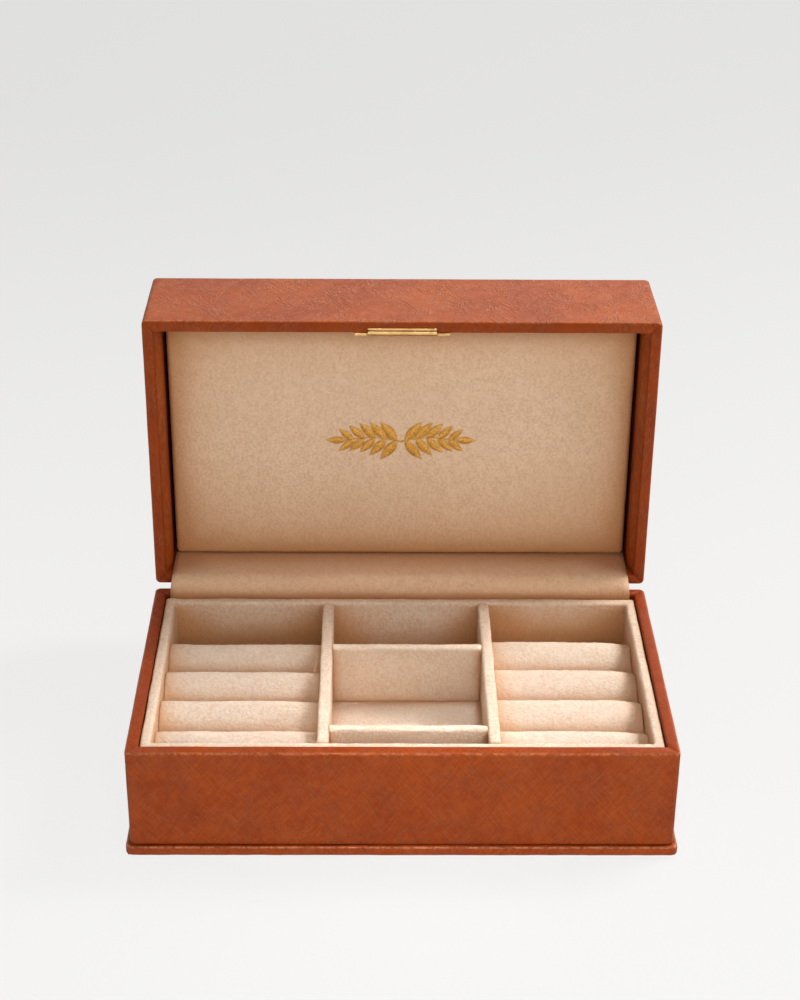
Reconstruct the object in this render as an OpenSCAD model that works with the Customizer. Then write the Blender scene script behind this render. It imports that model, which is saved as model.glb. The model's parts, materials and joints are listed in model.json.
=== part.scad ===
// Leather jewellery case: board box and lid wrapped in leather, joined by two brass hinges,
// with a suede-covered tray insert, ring rolls, a padded lid panel and a magnetic catch.
// Millimetres, +X to the right, +Y to the back, +Z up, origin under the centre of the base.
// The lid is drawn shut and then turned to its open place, which is the rest pose.

/* [Case] */
// Width of the base and the lid over the leather
case_w = 210; // [190:1:240]
// Depth of the base and the lid over the leather
case_d = 122; // [116:1:140]
// Height of the base's rim above the table
base_h = 48; // [46:0.5:60]
// Height of the lid from its rim to its top
lid_h = 48; // [40:0.5:55]
// Gap between the two rims when the case is shut
rim_gap = 0.4; // [0.4:0.1:1]
// Radius of the upright corners
corner_r = 2; // [1.5:0.1:2.4]

/* [Walls] */
// Thickness of the leather
leather_t = 0.8; // [0.6:0.1:1]
// Thickness of the wall boards
board_t = 3.2; // [2.8:0.1:4]

/* [Plinth] */
// Thickness of the plinth with its leather
plinth_h = 4; // [3.5:0.1:6]
// How far the plinth stands out past the walls
plinth_lip = 1.7; // [1:0.1:2.5]
// Thickness of the felt under the plinth
felt_t = 1; // [0.8:0.1:1.5]
// How far the felt stays in from the plinth's edge
felt_inset = 1.8; // [1:0.1:5]

/* [Tray] */
// Drop from the rim to the top of the tray's walls
tray_drop = 1.3; // [0.8:0.1:3]
// Inside depth of the tray
tray_depth = 26.5; // [20:0.1:28]
// Thickness of the tray's covered walls
tray_wall = 4; // [3:0.1:5]
// Thickness of the tray's covered floor
tray_floor_t = 1.8; // [1.5:0.1:3]
// Gap between the tray and the leather walls
tray_gap = 0.3; // [0.2:0.1:0.8]
// Gap behind the tray, where the hinge lining goes down
tray_back_gap = 1.8; // [1.6:0.1:3]
// Thickness of the two dividers that run from front to back
divider_t = 4.6; // [3:0.1:6]
// Centre of the left divider from the middle of the case
left_divider_x = -30.5; // [-40:0.5:-25]
// Centre of the right divider from the middle of the case
right_divider_x = 35.3; // [25:0.1:40]
// Thickness of the two cross dividers in the middle column
cross_t = 4; // [3:0.1:5]
// Centre of the rear cross divider
rear_cross_y = 16.6; // [10:0.1:22]
// Centre of the front cross divider
front_cross_y = -41.7; // [-43:0.1:-38]

/* [Ring rolls] */
// Back of the first roll in the left column
left_rolls_y = 32.5; // [28:0.5:36]
// Back of the first roll in the right column
right_rolls_y = 35; // [28:0.5:38]
// Gap between one roll and the next
roll_gap = 1.2; // [0.8:0.1:2]
// Height of a roll's crest above the tray's floor
roll_h = 21.2; // [16:0.1:23]
// Gap at each end of a roll
roll_end_gap = 0.2; // [0.1:0.1:0.5]

/* [Lid panel] */
// Depth from the lid's rim to the face of the padded panel
pad_depth = 15.5; // [12:0.5:22]
// Thickness of the padding with its cover
pad_t = 4; // [3:0.1:6]
// Thickness of the card behind the padding
pad_card_t = 1.8; // [1.5:0.1:3]
// Gap round the padded panel
pad_gap = 1.2; // [1:0.1:2]
// Gap at each end of the padded panel
pad_end_gap = 3; // [1:0.1:4]

/* [Hinge] */
// Distance of each hinge from the middle of the case
hinge_x = 62; // [45:1:80]
// Length of a hinge
hinge_len = 18; // [15:0.5:22]
// Radius of the knuckles
knuckle_r = 1.6; // [1.5:0.05:1.7]
// Radius of the hinge pins
pin_r = 0.8; // [0.6:0.05:0.9]
// Distance of the hinge line behind the back walls
hinge_back = 1; // [0.9:0.1:1.2]
// Thickness of the leaves
leaf_t = 0.9; // [0.8:0.05:0.95]
// Thickness of the suede hinge lining
lining_t = 0.8; // [0.6:0.1:1]
// Width that the hinge lining is short of the case at each end
lining_inset = 6.7; // [6:0.1:12]

/* [Catch] */
// Length of the catch plate
catch_len = 38.6; // [30:0.1:50]
// Length of the strike bar
strike_len = 28.2; // [20:0.1:30]

/* [Hidden] */
$fn = 48;
eps = 0.01;
in_w = case_w / 2 - 2 * leather_t - board_t;      // half width inside the walls
in_d = case_d / 2 - 2 * leather_t - board_t;      // half depth inside the walls
board_w = case_w / 2 - leather_t;                 // half width over the boards
board_d = case_d / 2 - leather_t;
core_w = board_w - board_t;                       // half width inside the boards
core_d = board_d - board_t;
wall_z = felt_t + plinth_h;                       // where the walls stand on the plinth
rim_z = base_h;
lid_rim_z = base_h + rim_gap;                     // lid's rim when shut
lid_top_z = lid_rim_z + lid_h;
lid_board_z = lid_top_z - leather_t - board_t;    // underside of the lid's top board
axis_y = case_d / 2 + hinge_back;
axis_z = base_h + rim_gap / 2;

tray_w = in_w - tray_gap;                         // half width over the tray
tray_front = -in_d + tray_gap;
tray_back = in_d - tray_back_gap;
tray_top = rim_z - tray_drop;
tray_z = tray_top - tray_depth;                   // top of the tray's floor
roll_front = tray_front + tray_wall;              // inside of the tray's front wall
left_pitch = (left_rolls_y - roll_front) / 4;
right_pitch = (right_rolls_y - roll_front) / 4;
strip_w = 6;                                      // width of a support strip
strip_inset = 1;                                  // from the tray's edge to a strip
pad_strip_inset = 4;                              // from the panel's edge to a strip
strip_gap = 1;                                    // between the end of one strip and the next

pad_z = lid_rim_z + pad_depth;                    // face of the padded panel when shut
pad_w = in_w - pad_end_gap;
pad_d = in_d - pad_gap;
pad_corner_r = 1.5;
card_inset = 1;                                   // how far the card stays in from the panel's edge
lining_w = case_w / 2 - lining_inset;
lining_z = base_h - tray_drop + 0.2;              // top of the lining's base flap
lining_lid_z = lid_rim_z + leather_t;             // rim end of the lining's lid flap
lining_r = axis_y - in_d;                         // outer face of the lining from the hinge line

knuckle_gap = 0.15;                               // between two knuckles along the pin
notch_r = knuckle_r + 0.2;                        // room round the knuckles
notch_end = 0.8;                                  // room past the ends of the knuckles
leaf_room = 0.1;                                  // room past the ends of the leaves
bore_r = pin_r + 0.05;
pin_end = 0.1;                                    // how far a pin's shank runs past the knuckles
pin_head_gap = 0.05;
pin_head_t = 0.6;
pin_head_r = pin_r + 0.5;
leaf_front = core_d + 0.3;
link_y = axis_y - notch_r - 0.05;                 // where a leaf's body ends before the knuckles
screw_y = core_d + board_t / 2;
screw_x = 6;
screw_r = 0.6;
screw_len = 6;
screw_head_r = 1.2;
screw_head_h = 0.7;
head_room = 0.05;                                 // room round a screw's head in a leaf
hole_room = 0.02;                                 // room round a screw's shank

strike_t = 0.95;
strike_deep = 2.9;
strike_y = -in_d - 2.1;                           // front edge of the strike bar
strike_gap = 0.1;                                 // room round the strike bar in the leather
strike_plate_gap = 0.05;                          // room between the strike bar and the plate
groove_y = 0.7;                                   // front of the bar's groove from its front edge
groove_w = 0.4;
groove_deep = 0.35;
plate_t = 1.4;
plate_h = 9;
plate_drop = 0.2;                                 // drop from the rim to the plate's edge
plate_screw_x = 17;
plate_screw_z = 6.5;
plate_screw_len = 4;
plate_screw_r = 0.7;
plate_head_r = 1.5;
plate_head_h = 0.8;
magnet_size = [24, 2.6, 5];
magnet_cover = 0.3;                               // board cut away behind the front leather

leather_colour = "#A2502E";
suede_colour = "#D9B592";
board_colour = "#B89B72";
brass_colour = "#D9A94E";
felt_colour = "#3A2A22";

// ---- shared shapes ----

// A box given by its low and high corners.
module span(low, high) {
    translate(low) cube(high - low);
}

// A box centred on the origin in x and y, with round upright corners.
module rounded_block(w, d, z0, z1, r) {
    span([-w / 2 + r, -d / 2, z0], [w / 2 - r, d / 2, z1]);
    span([-w / 2, -d / 2 + r, z0], [w / 2, d / 2 - r, z1]);
    for (sx = [-1, 1], sy = [-1, 1])
        translate([sx * (w / 2 - r), sy * (d / 2 - r), z0]) cylinder(h = z1 - z0, r = r);
}

// Turns what is drawn shut to the lid's open place.
module open_lid() {
    translate([0, axis_y, axis_z]) rotate([-90, 0, 0]) translate([0, -axis_y, -axis_z]) children();
}

// A round bar along x about the hinge line.
module hinge_bar(x0, x1, r) {
    translate([x0, axis_y, axis_z]) rotate([0, 90, 0]) cylinder(h = x1 - x0, r = r);
}

// Turns what is drawn below the rims into its mirror image above them.
module above_rims() {
    translate([0, 0, 2 * axis_z]) mirror([0, 0, 1]) children();
}

// The room that both hinges take in the walls below the rims.
module hinge_room() {
    for (x = [-hinge_x, hinge_x]) {
        hinge_bar(x - hinge_len / 2 - notch_end, x + hinge_len / 2 + notch_end, notch_r);
        span([x - hinge_len / 2 - leaf_room, core_d, rim_z - leather_t],
             [x + hinge_len / 2 + leaf_room, case_d / 2 + 1, rim_z + 1]);
    }
}

// Holes for the leaf screws in the board below the rim.
module hinge_screw_holes() {
    for (x = [-hinge_x, hinge_x], s = [-1, 1])
        translate([x + s * screw_x, screw_y, rim_z - leather_t - screw_len])
            cylinder(h = screw_len + 1, r = screw_r + hole_room);
}

// A countersunk screw pointing down, with the top of its head at the origin.
module screw(length, r, head_r, head_h) {
    translate([0, 0, -head_h]) cylinder(h = head_h, r1 = r, r2 = head_r);
    translate([0, 0, -length]) cylinder(h = length - head_h + eps, r = r);
}

// ---- plinth ----

module base_felt() {
    color(felt_colour)
        rounded_block(case_w + 2 * (plinth_lip - felt_inset), case_d + 2 * (plinth_lip - felt_inset),
                      0, felt_t, corner_r);
}

module plinth_core(extra) {
    span([-board_w - plinth_lip, -board_d - plinth_lip, felt_t - extra],
         [board_w + plinth_lip, board_d + plinth_lip, wall_z - leather_t]);
}

module plinth_board() {
    color(board_colour) plinth_core(0);
}

module plinth_leather() {
    color(leather_colour)
        difference() {
            rounded_block(case_w + 2 * plinth_lip, case_d + 2 * plinth_lip, felt_t, wall_z, corner_r);
            plinth_core(1);
        }
}

// ---- base walls ----

// A board across the front (side -1) or the back (side 1).
module cross_board(side, z0, z1) {
    y = side * (core_d + board_t / 2);
    span([-board_w, y - board_t / 2, z0], [board_w, y + board_t / 2, z1]);
}

// A board along the left (side -1) or the right (side 1).
module side_board(side, z0, z1) {
    x = side * (core_w + board_t / 2);
    span([x - board_t / 2, -core_d, z0], [x + board_t / 2, core_d, z1]);
}

module base_front_board() {
    color(board_colour)
        difference() {
            cross_board(-1, wall_z, rim_z - leather_t);
            magnet_block();
        }
}

module base_back_board() {
    color(board_colour)
        difference() {
            cross_board(1, wall_z, rim_z - leather_t);
            hinge_room();
            hinge_screw_holes();
        }
}

module base_left_board() {
    color(board_colour) side_board(-1, wall_z, rim_z - leather_t);
}

module base_right_board() {
    color(board_colour) side_board(1, wall_z, rim_z - leather_t);
}

// Leather round a ring of boards, over the rim and down the inside.
module leather_ring(z0, z1, board_z0, board_z1) {
    difference() {
        rounded_block(case_w, case_d, z0, z1, corner_r);
        span([-in_w, -in_d, z0 - 1], [in_w, in_d, z1 + 1]);
        difference() {
            span([-board_w, -board_d, board_z0], [board_w, board_d, board_z1]);
            span([-core_w, -core_d, board_z0 - 1], [core_w, core_d, board_z1 + 1]);
        }
    }
}

module base_leather() {
    color(leather_colour)
        difference() {
            leather_ring(wall_z, rim_z, wall_z - eps, rim_z - leather_t);
            hinge_room();
        }
}

module magnet_block() {
    translate([-magnet_size[0] / 2, -core_d - board_t + magnet_cover, rim_z - leather_t - magnet_size[2]])
        cube(magnet_size);
}

module catch_magnet() {
    color("silver") magnet_block();
}

// ---- tray ----

module tray_supports() {
    color(board_colour) {
        for (y = [tray_front + strip_inset, tray_back - strip_w - strip_inset])
            span([-tray_w + strip_inset, y, wall_z],
                 [tray_w - strip_inset, y + strip_w, tray_z - tray_floor_t]);
        for (x = [left_divider_x, right_divider_x])
            span([x - strip_w / 2, tray_front + strip_inset + strip_w + strip_gap, wall_z],
                 [x + strip_w / 2, tray_back - strip_inset - strip_w - strip_gap, tray_z - tray_floor_t]);
    }
}

module tray_floor() {
    color(suede_colour)
        span([-tray_w, tray_front, tray_z - tray_floor_t], [tray_w, tray_back, tray_z]);
}

// One of the tray's upright pieces between two plan corners.
module tray_upright(x0, y0, x1, y1) {
    color(suede_colour) span([x0, y0, tray_z], [x1, y1, tray_top]);
}

module tray_front_wall() {
    tray_upright(-tray_w + tray_wall, tray_front, tray_w - tray_wall, tray_front + tray_wall);
}

module tray_back_wall() {
    tray_upright(-tray_w + tray_wall, tray_back - tray_wall, tray_w - tray_wall, tray_back);
}

module tray_left_wall() {
    tray_upright(-tray_w, tray_front, -tray_w + tray_wall, tray_back);
}

module tray_right_wall() {
    tray_upright(tray_w - tray_wall, tray_front, tray_w, tray_back);
}

module long_divider(x) {
    tray_upright(x - divider_t / 2, tray_front + tray_wall, x + divider_t / 2, tray_back - tray_wall);
}

module left_divider() {
    long_divider(left_divider_x);
}

module right_divider() {
    long_divider(right_divider_x);
}

module cross_divider(y) {
    tray_upright(left_divider_x + divider_t / 2, y - cross_t / 2,
                 right_divider_x - divider_t / 2, y + cross_t / 2);
}

module rear_cross_divider() {
    cross_divider(rear_cross_y);
}

module front_cross_divider() {
    cross_divider(front_cross_y);
}

// A ring roll from x0 to x1 with its back at y: upright sides and a half-round top.
module ring_roll(x0, x1, y, pitch) {
    r = (pitch - roll_gap) / 2;
    yc = y - roll_gap / 2 - r;
    zc = tray_z + roll_h - r;
    color(suede_colour) {
        span([x0, yc - r, tray_z], [x1, yc + r, zc]);
        intersection() {
            translate([x0, yc, zc]) rotate([0, 90, 0]) cylinder(h = x1 - x0, r = r);
            span([x0 - 1, yc - r - 1, zc - eps], [x1 + 1, yc + r + 1, zc + r + 1]);
        }
    }
}

module left_roll(i) {
    ring_roll(-tray_w + tray_wall + roll_end_gap, left_divider_x - divider_t / 2 - roll_end_gap,
              left_rolls_y - (i - 1) * left_pitch, left_pitch);
}

module right_roll(i) {
    ring_roll(right_divider_x + divider_t / 2 + roll_end_gap, tray_w - tray_wall - roll_end_gap,
              right_rolls_y - (i - 1) * right_pitch, right_pitch);
}

// ---- suede hinge lining ----

module lining_base_flap() {
    color(suede_colour)
        span([-lining_w, in_d - lining_t, tray_z], [lining_w, in_d, lining_z]);
}

// The flexible stretch between the two flaps, round the hinge line.
module hinge_lining() {
    face = lining_r + 0.02;
    low = lining_z - axis_z;
    high = lining_lid_z - axis_z;
    far = 3 * lining_r;
    color(suede_colour)
        translate([-lining_w, axis_y, axis_z]) rotate([90, 0, 90])
            linear_extrude(2 * lining_w)
                intersection() {
                    difference() {
                        circle(r = lining_r + lining_t, $fn = 96);
                        circle(r = face, $fn = 96);
                    }
                    polygon([[-face, low], [-face, 0], [0, 0], [0, face], [high, face],
                             [high, far], [-far, far], [-far, low]]);
                }
}

module lining_lid_flap() {
    color(suede_colour) open_lid()
        span([-lining_w, in_d - lining_t, lining_lid_z], [lining_w, in_d, pad_z + pad_t]);
}

// ---- hinges ----

// One leaf below the rims: knuckles cover the listed stretches along x.
module leaf(x, knuckles) {
    difference() {
        union() {
            span([x - hinge_len / 2, leaf_front, rim_z - leather_t],
                 [x + hinge_len / 2, link_y, rim_z - leather_t + leaf_t]);
            for (k = knuckles) {
                hinge_bar(x + k[0], x + k[1], knuckle_r);
                span([x + k[0], link_y - eps, rim_z - leather_t],
                     [x + k[1], axis_y, rim_z - leather_t + leaf_t]);
            }
        }
        hinge_bar(x - hinge_len, x + hinge_len, bore_r);
        for (s = [-1, 1])
            translate([x + s * screw_x, screw_y, rim_z - leather_t + leaf_t])
                screw(3, screw_r + hole_room, screw_head_r + head_room, screw_head_h);
    }
}

module base_leaf(x) {
    third = hinge_len / 6;
    color(brass_colour) leaf(x, [[-hinge_len / 2, -third], [third, hinge_len / 2]]);
}

module lid_leaf(x) {
    third = hinge_len / 6;
    color(brass_colour) open_lid() above_rims() leaf(x, [[-third + knuckle_gap, third - knuckle_gap]]);
}

module hinge_pin(x) {
    half = hinge_len / 2;
    color(brass_colour) {
        hinge_bar(x - half - pin_end, x + half + pin_end, pin_r);
        hinge_bar(x - half - pin_head_gap - pin_head_t, x - half - pin_head_gap, pin_head_r);
        hinge_bar(x + half + pin_head_gap, x + half + pin_head_gap + pin_head_t, pin_head_r);
    }
}

module leaf_screws() {
    color(brass_colour)
        for (x = [-hinge_x, hinge_x], s = [-1, 1])
            translate([x + s * screw_x, screw_y, rim_z - leather_t + leaf_t])
                screw(screw_len, screw_r, screw_head_r, screw_head_h);
}

module left_hinge_base_leaf() {
    base_leaf(-hinge_x);
}

module right_hinge_base_leaf() {
    base_leaf(hinge_x);
}

module left_hinge_pin() {
    hinge_pin(-hinge_x);
}

module right_hinge_pin() {
    hinge_pin(hinge_x);
}

module hinge_base_screws() {
    leaf_screws();
}

module left_hinge_lid_leaf() {
    lid_leaf(-hinge_x);
}

module right_hinge_lid_leaf() {
    lid_leaf(hinge_x);
}

module hinge_lid_screws() {
    open_lid() above_rims() leaf_screws();
}

// ---- lid ----

module lid_top_board() {
    color(board_colour) open_lid()
        span([-board_w, -board_d, lid_board_z], [board_w, board_d, lid_board_z + board_t]);
}

module lid_front_board() {
    color(board_colour) open_lid()
        difference() {
            cross_board(-1, lid_rim_z + leather_t, lid_board_z);
            plate_screws(hole_room);
        }
}

module lid_back_board() {
    color(board_colour) open_lid()
        difference() {
            cross_board(1, lid_rim_z + leather_t, lid_board_z);
            above_rims() hinge_room();
            above_rims() hinge_screw_holes();
        }
}

module lid_left_board() {
    color(board_colour) open_lid() side_board(-1, lid_rim_z + leather_t, lid_board_z);
}

module lid_right_board() {
    color(board_colour) open_lid() side_board(1, lid_rim_z + leather_t, lid_board_z);
}

// Leather over the top, the walls and the rim, and down the inside of the walls.
module lid_leather() {
    color(leather_colour) open_lid()
        difference() {
            rounded_block(case_w, case_d, lid_rim_z, lid_top_z, corner_r);
            span([-in_w, -in_d, lid_rim_z - 1], [in_w, in_d, lid_board_z + eps]);
            span([-board_w, -board_d, lid_board_z], [board_w, board_d, lid_board_z + board_t]);
            difference() {
                span([-board_w, -board_d, lid_rim_z + leather_t], [board_w, board_d, lid_board_z + eps]);
                span([-core_w, -core_d, lid_rim_z], [core_w, core_d, lid_board_z + 1]);
            }
            above_rims() hinge_room();
            strike_room();
            plate_screws(hole_room);
        }
}

module lid_pad_supports() {
    z0 = pad_z + pad_t + pad_card_t;
    color(board_colour) open_lid() {
        for (y = [-pad_d + pad_strip_inset, pad_d - pad_strip_inset - strip_w])
            span([-pad_w + pad_strip_inset, y, z0], [pad_w - pad_strip_inset, y + strip_w, lid_board_z]);
        for (s = [-1, 1])
            span([s * pad_w / 3 - strip_w / 2, -pad_d + pad_strip_inset + strip_w + strip_gap, z0],
                 [s * pad_w / 3 + strip_w / 2, pad_d - pad_strip_inset - strip_w - strip_gap, lid_board_z]);
    }
}

module lid_pad_card() {
    color(board_colour) open_lid()
        span([-pad_w + card_inset, -pad_d + card_inset, pad_z + pad_t],
             [pad_w - card_inset, pad_d - card_inset, pad_z + pad_t + pad_card_t]);
}

module lid_pad() {
    color(suede_colour) open_lid()
        rounded_block(2 * pad_w, 2 * pad_d, pad_z, pad_z + pad_t, pad_corner_r);
}

// ---- catch ----

// Room for the strike bar in the rim of the lid's front wall.
module strike_room() {
    span([-strike_len / 2 - strike_gap, strike_y - strike_gap, lid_rim_z - 1],
         [strike_len / 2 + strike_gap, -in_d + 1, lid_rim_z + leather_t]);
}

// Screws of the catch plate, or their holes when room is given.
module plate_screws(room) {
    for (s = [-1, 1])
        translate([s * plate_screw_x, -in_d + plate_t, lid_rim_z + plate_screw_z])
            rotate([-90, 0, 0])
                screw(plate_screw_len, plate_screw_r + room, plate_head_r + room, plate_head_h);
}

module strike_bar() {
    z1 = lid_rim_z + leather_t;
    color(brass_colour) open_lid()
        difference() {
            span([-strike_len / 2, strike_y, z1 - strike_t], [strike_len / 2, strike_y + strike_deep, z1]);
            span([-strike_len, strike_y + groove_y, z1 - strike_t - 1],
                 [strike_len, strike_y + groove_y + groove_w, z1 - strike_t + groove_deep]);
        }
}

module catch_plate() {
    color(brass_colour) open_lid()
        difference() {
            span([-catch_len / 2, -in_d, lid_rim_z + plate_drop],
                 [catch_len / 2, -in_d + plate_t, lid_rim_z + plate_h]);
            span([-strike_len / 2 - strike_plate_gap, -in_d - 1, lid_rim_z - 1],
                 [strike_len / 2 + strike_plate_gap, -in_d + 2, lid_rim_z + leather_t]);
            plate_screws(hole_room);
        }
}

module catch_screws() {
    color(brass_colour) open_lid() plate_screws(0);
}

base_felt();
plinth_board();
plinth_leather();
base_front_board();
base_back_board();
base_left_board();
base_right_board();
base_leather();
catch_magnet();
tray_supports();
tray_floor();
tray_front_wall();
tray_back_wall();
tray_left_wall();
tray_right_wall();
left_divider();
right_divider();
rear_cross_divider();
front_cross_divider();
left_roll(1);  // left_ring_roll_1
left_roll(2);  // left_ring_roll_2
left_roll(3);  // left_ring_roll_3
left_roll(4);  // left_ring_roll_4
right_roll(1);  // right_ring_roll_1
right_roll(2);  // right_ring_roll_2
right_roll(3);  // right_ring_roll_3
right_roll(4);  // right_ring_roll_4
lining_base_flap();
hinge_lining();
left_hinge_base_leaf();
right_hinge_base_leaf();
left_hinge_pin();
right_hinge_pin();
hinge_base_screws();
lid_top_board();
lid_front_board();
lid_back_board();
lid_left_board();
lid_right_board();
lid_leather();
lid_pad_supports();
lid_pad_card();
lid_pad();
lining_lid_flap();
left_hinge_lid_leaf();
right_hinge_lid_leaf();
hinge_lid_screws();
catch_plate();
strike_bar();
catch_screws();
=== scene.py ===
"""The looks of a leather jewellery case: wrapped leather, suede tray, ring rolls, hinge lining and brass."""

import json
import logging
import math
from dataclasses import dataclass, field
from enum import Enum
from typing import Callable, Iterable, Sequence

import bmesh
import bpy
import numpy as np
from mathutils import Matrix, Vector, noise
from mathutils.bvhtree import BVHTree


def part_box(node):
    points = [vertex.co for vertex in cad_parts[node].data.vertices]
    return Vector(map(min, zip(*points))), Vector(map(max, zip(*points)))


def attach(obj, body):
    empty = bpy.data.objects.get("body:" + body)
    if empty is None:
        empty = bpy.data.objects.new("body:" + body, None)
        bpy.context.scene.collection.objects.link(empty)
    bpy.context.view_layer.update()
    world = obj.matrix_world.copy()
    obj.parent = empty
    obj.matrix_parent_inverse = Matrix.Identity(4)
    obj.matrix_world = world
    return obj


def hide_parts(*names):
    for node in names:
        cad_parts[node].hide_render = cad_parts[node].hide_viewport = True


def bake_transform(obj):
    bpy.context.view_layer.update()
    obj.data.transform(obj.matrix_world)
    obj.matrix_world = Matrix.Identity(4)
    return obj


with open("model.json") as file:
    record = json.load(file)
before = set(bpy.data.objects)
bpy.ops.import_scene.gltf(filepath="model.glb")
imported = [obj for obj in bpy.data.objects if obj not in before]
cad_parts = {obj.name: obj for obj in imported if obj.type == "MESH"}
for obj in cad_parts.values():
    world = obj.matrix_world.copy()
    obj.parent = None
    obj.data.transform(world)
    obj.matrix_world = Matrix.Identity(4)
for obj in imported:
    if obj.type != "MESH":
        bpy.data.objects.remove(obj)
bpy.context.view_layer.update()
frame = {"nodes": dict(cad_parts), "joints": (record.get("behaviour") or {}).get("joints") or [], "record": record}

log = logging.getLogger("jewellery_case")

MM = 0.001
Socket = bpy.types.NodeSocket
Material = bpy.types.Material
Piece = bpy.types.Object
Colour = tuple[float, float, float]
Face = tuple[int, ...]


class Body(str, Enum):
    """The two bodies that the hinges join."""

    BASE = "base"
    LID = "lid"


# ---------------------------------------------------------------- places in the frame


def hinge_line() -> Vector:
    """The middle of the hinge line, in millimetres."""
    return Vector(frame["joints"][0]["pos_m"]) / MM


def opening_turn() -> Matrix:
    """The turn that takes a shut lid, in millimetres, to its open place."""
    axis = hinge_line()
    return Matrix.Translation(axis) @ Matrix.Rotation(-math.pi / 2, 4, "X") @ Matrix.Translation(-axis)


@dataclass(frozen=True)
class Span:
    """A box in millimetres, from its low to its high corner."""

    low: Vector
    high: Vector

    @classmethod
    def of(cls, node: str) -> "Span":
        """The box of a CAD node at rest."""
        low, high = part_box(node)
        return cls(low / MM, high / MM)

    @classmethod
    def shut(cls, node: str) -> "Span":
        """The box of one of the lid's CAD nodes, turned back to the shut lid.

        Args:
            node: the CAD node's name.

        Returns:
            The box that the node fills when the lid is shut.
        """
        there = cls.of(node)
        back = opening_turn().inverted()
        corners = [back @ Vector((x, y, z))
                   for x in (there.low.x, there.high.x)
                   for y in (there.low.y, there.high.y)
                   for z in (there.low.z, there.high.z)]
        low = Vector(min(c[i] for c in corners) for i in range(3))
        high = Vector(max(c[i] for c in corners) for i in range(3))
        return cls(low, high)

    @property
    def size(self) -> Vector:
        """The box's size along each axis."""
        return self.high - self.low

    @property
    def centre(self) -> Vector:
        """The box's middle."""
        return (self.high + self.low) / 2


# ---------------------------------------------------------------- shader graphs


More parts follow.
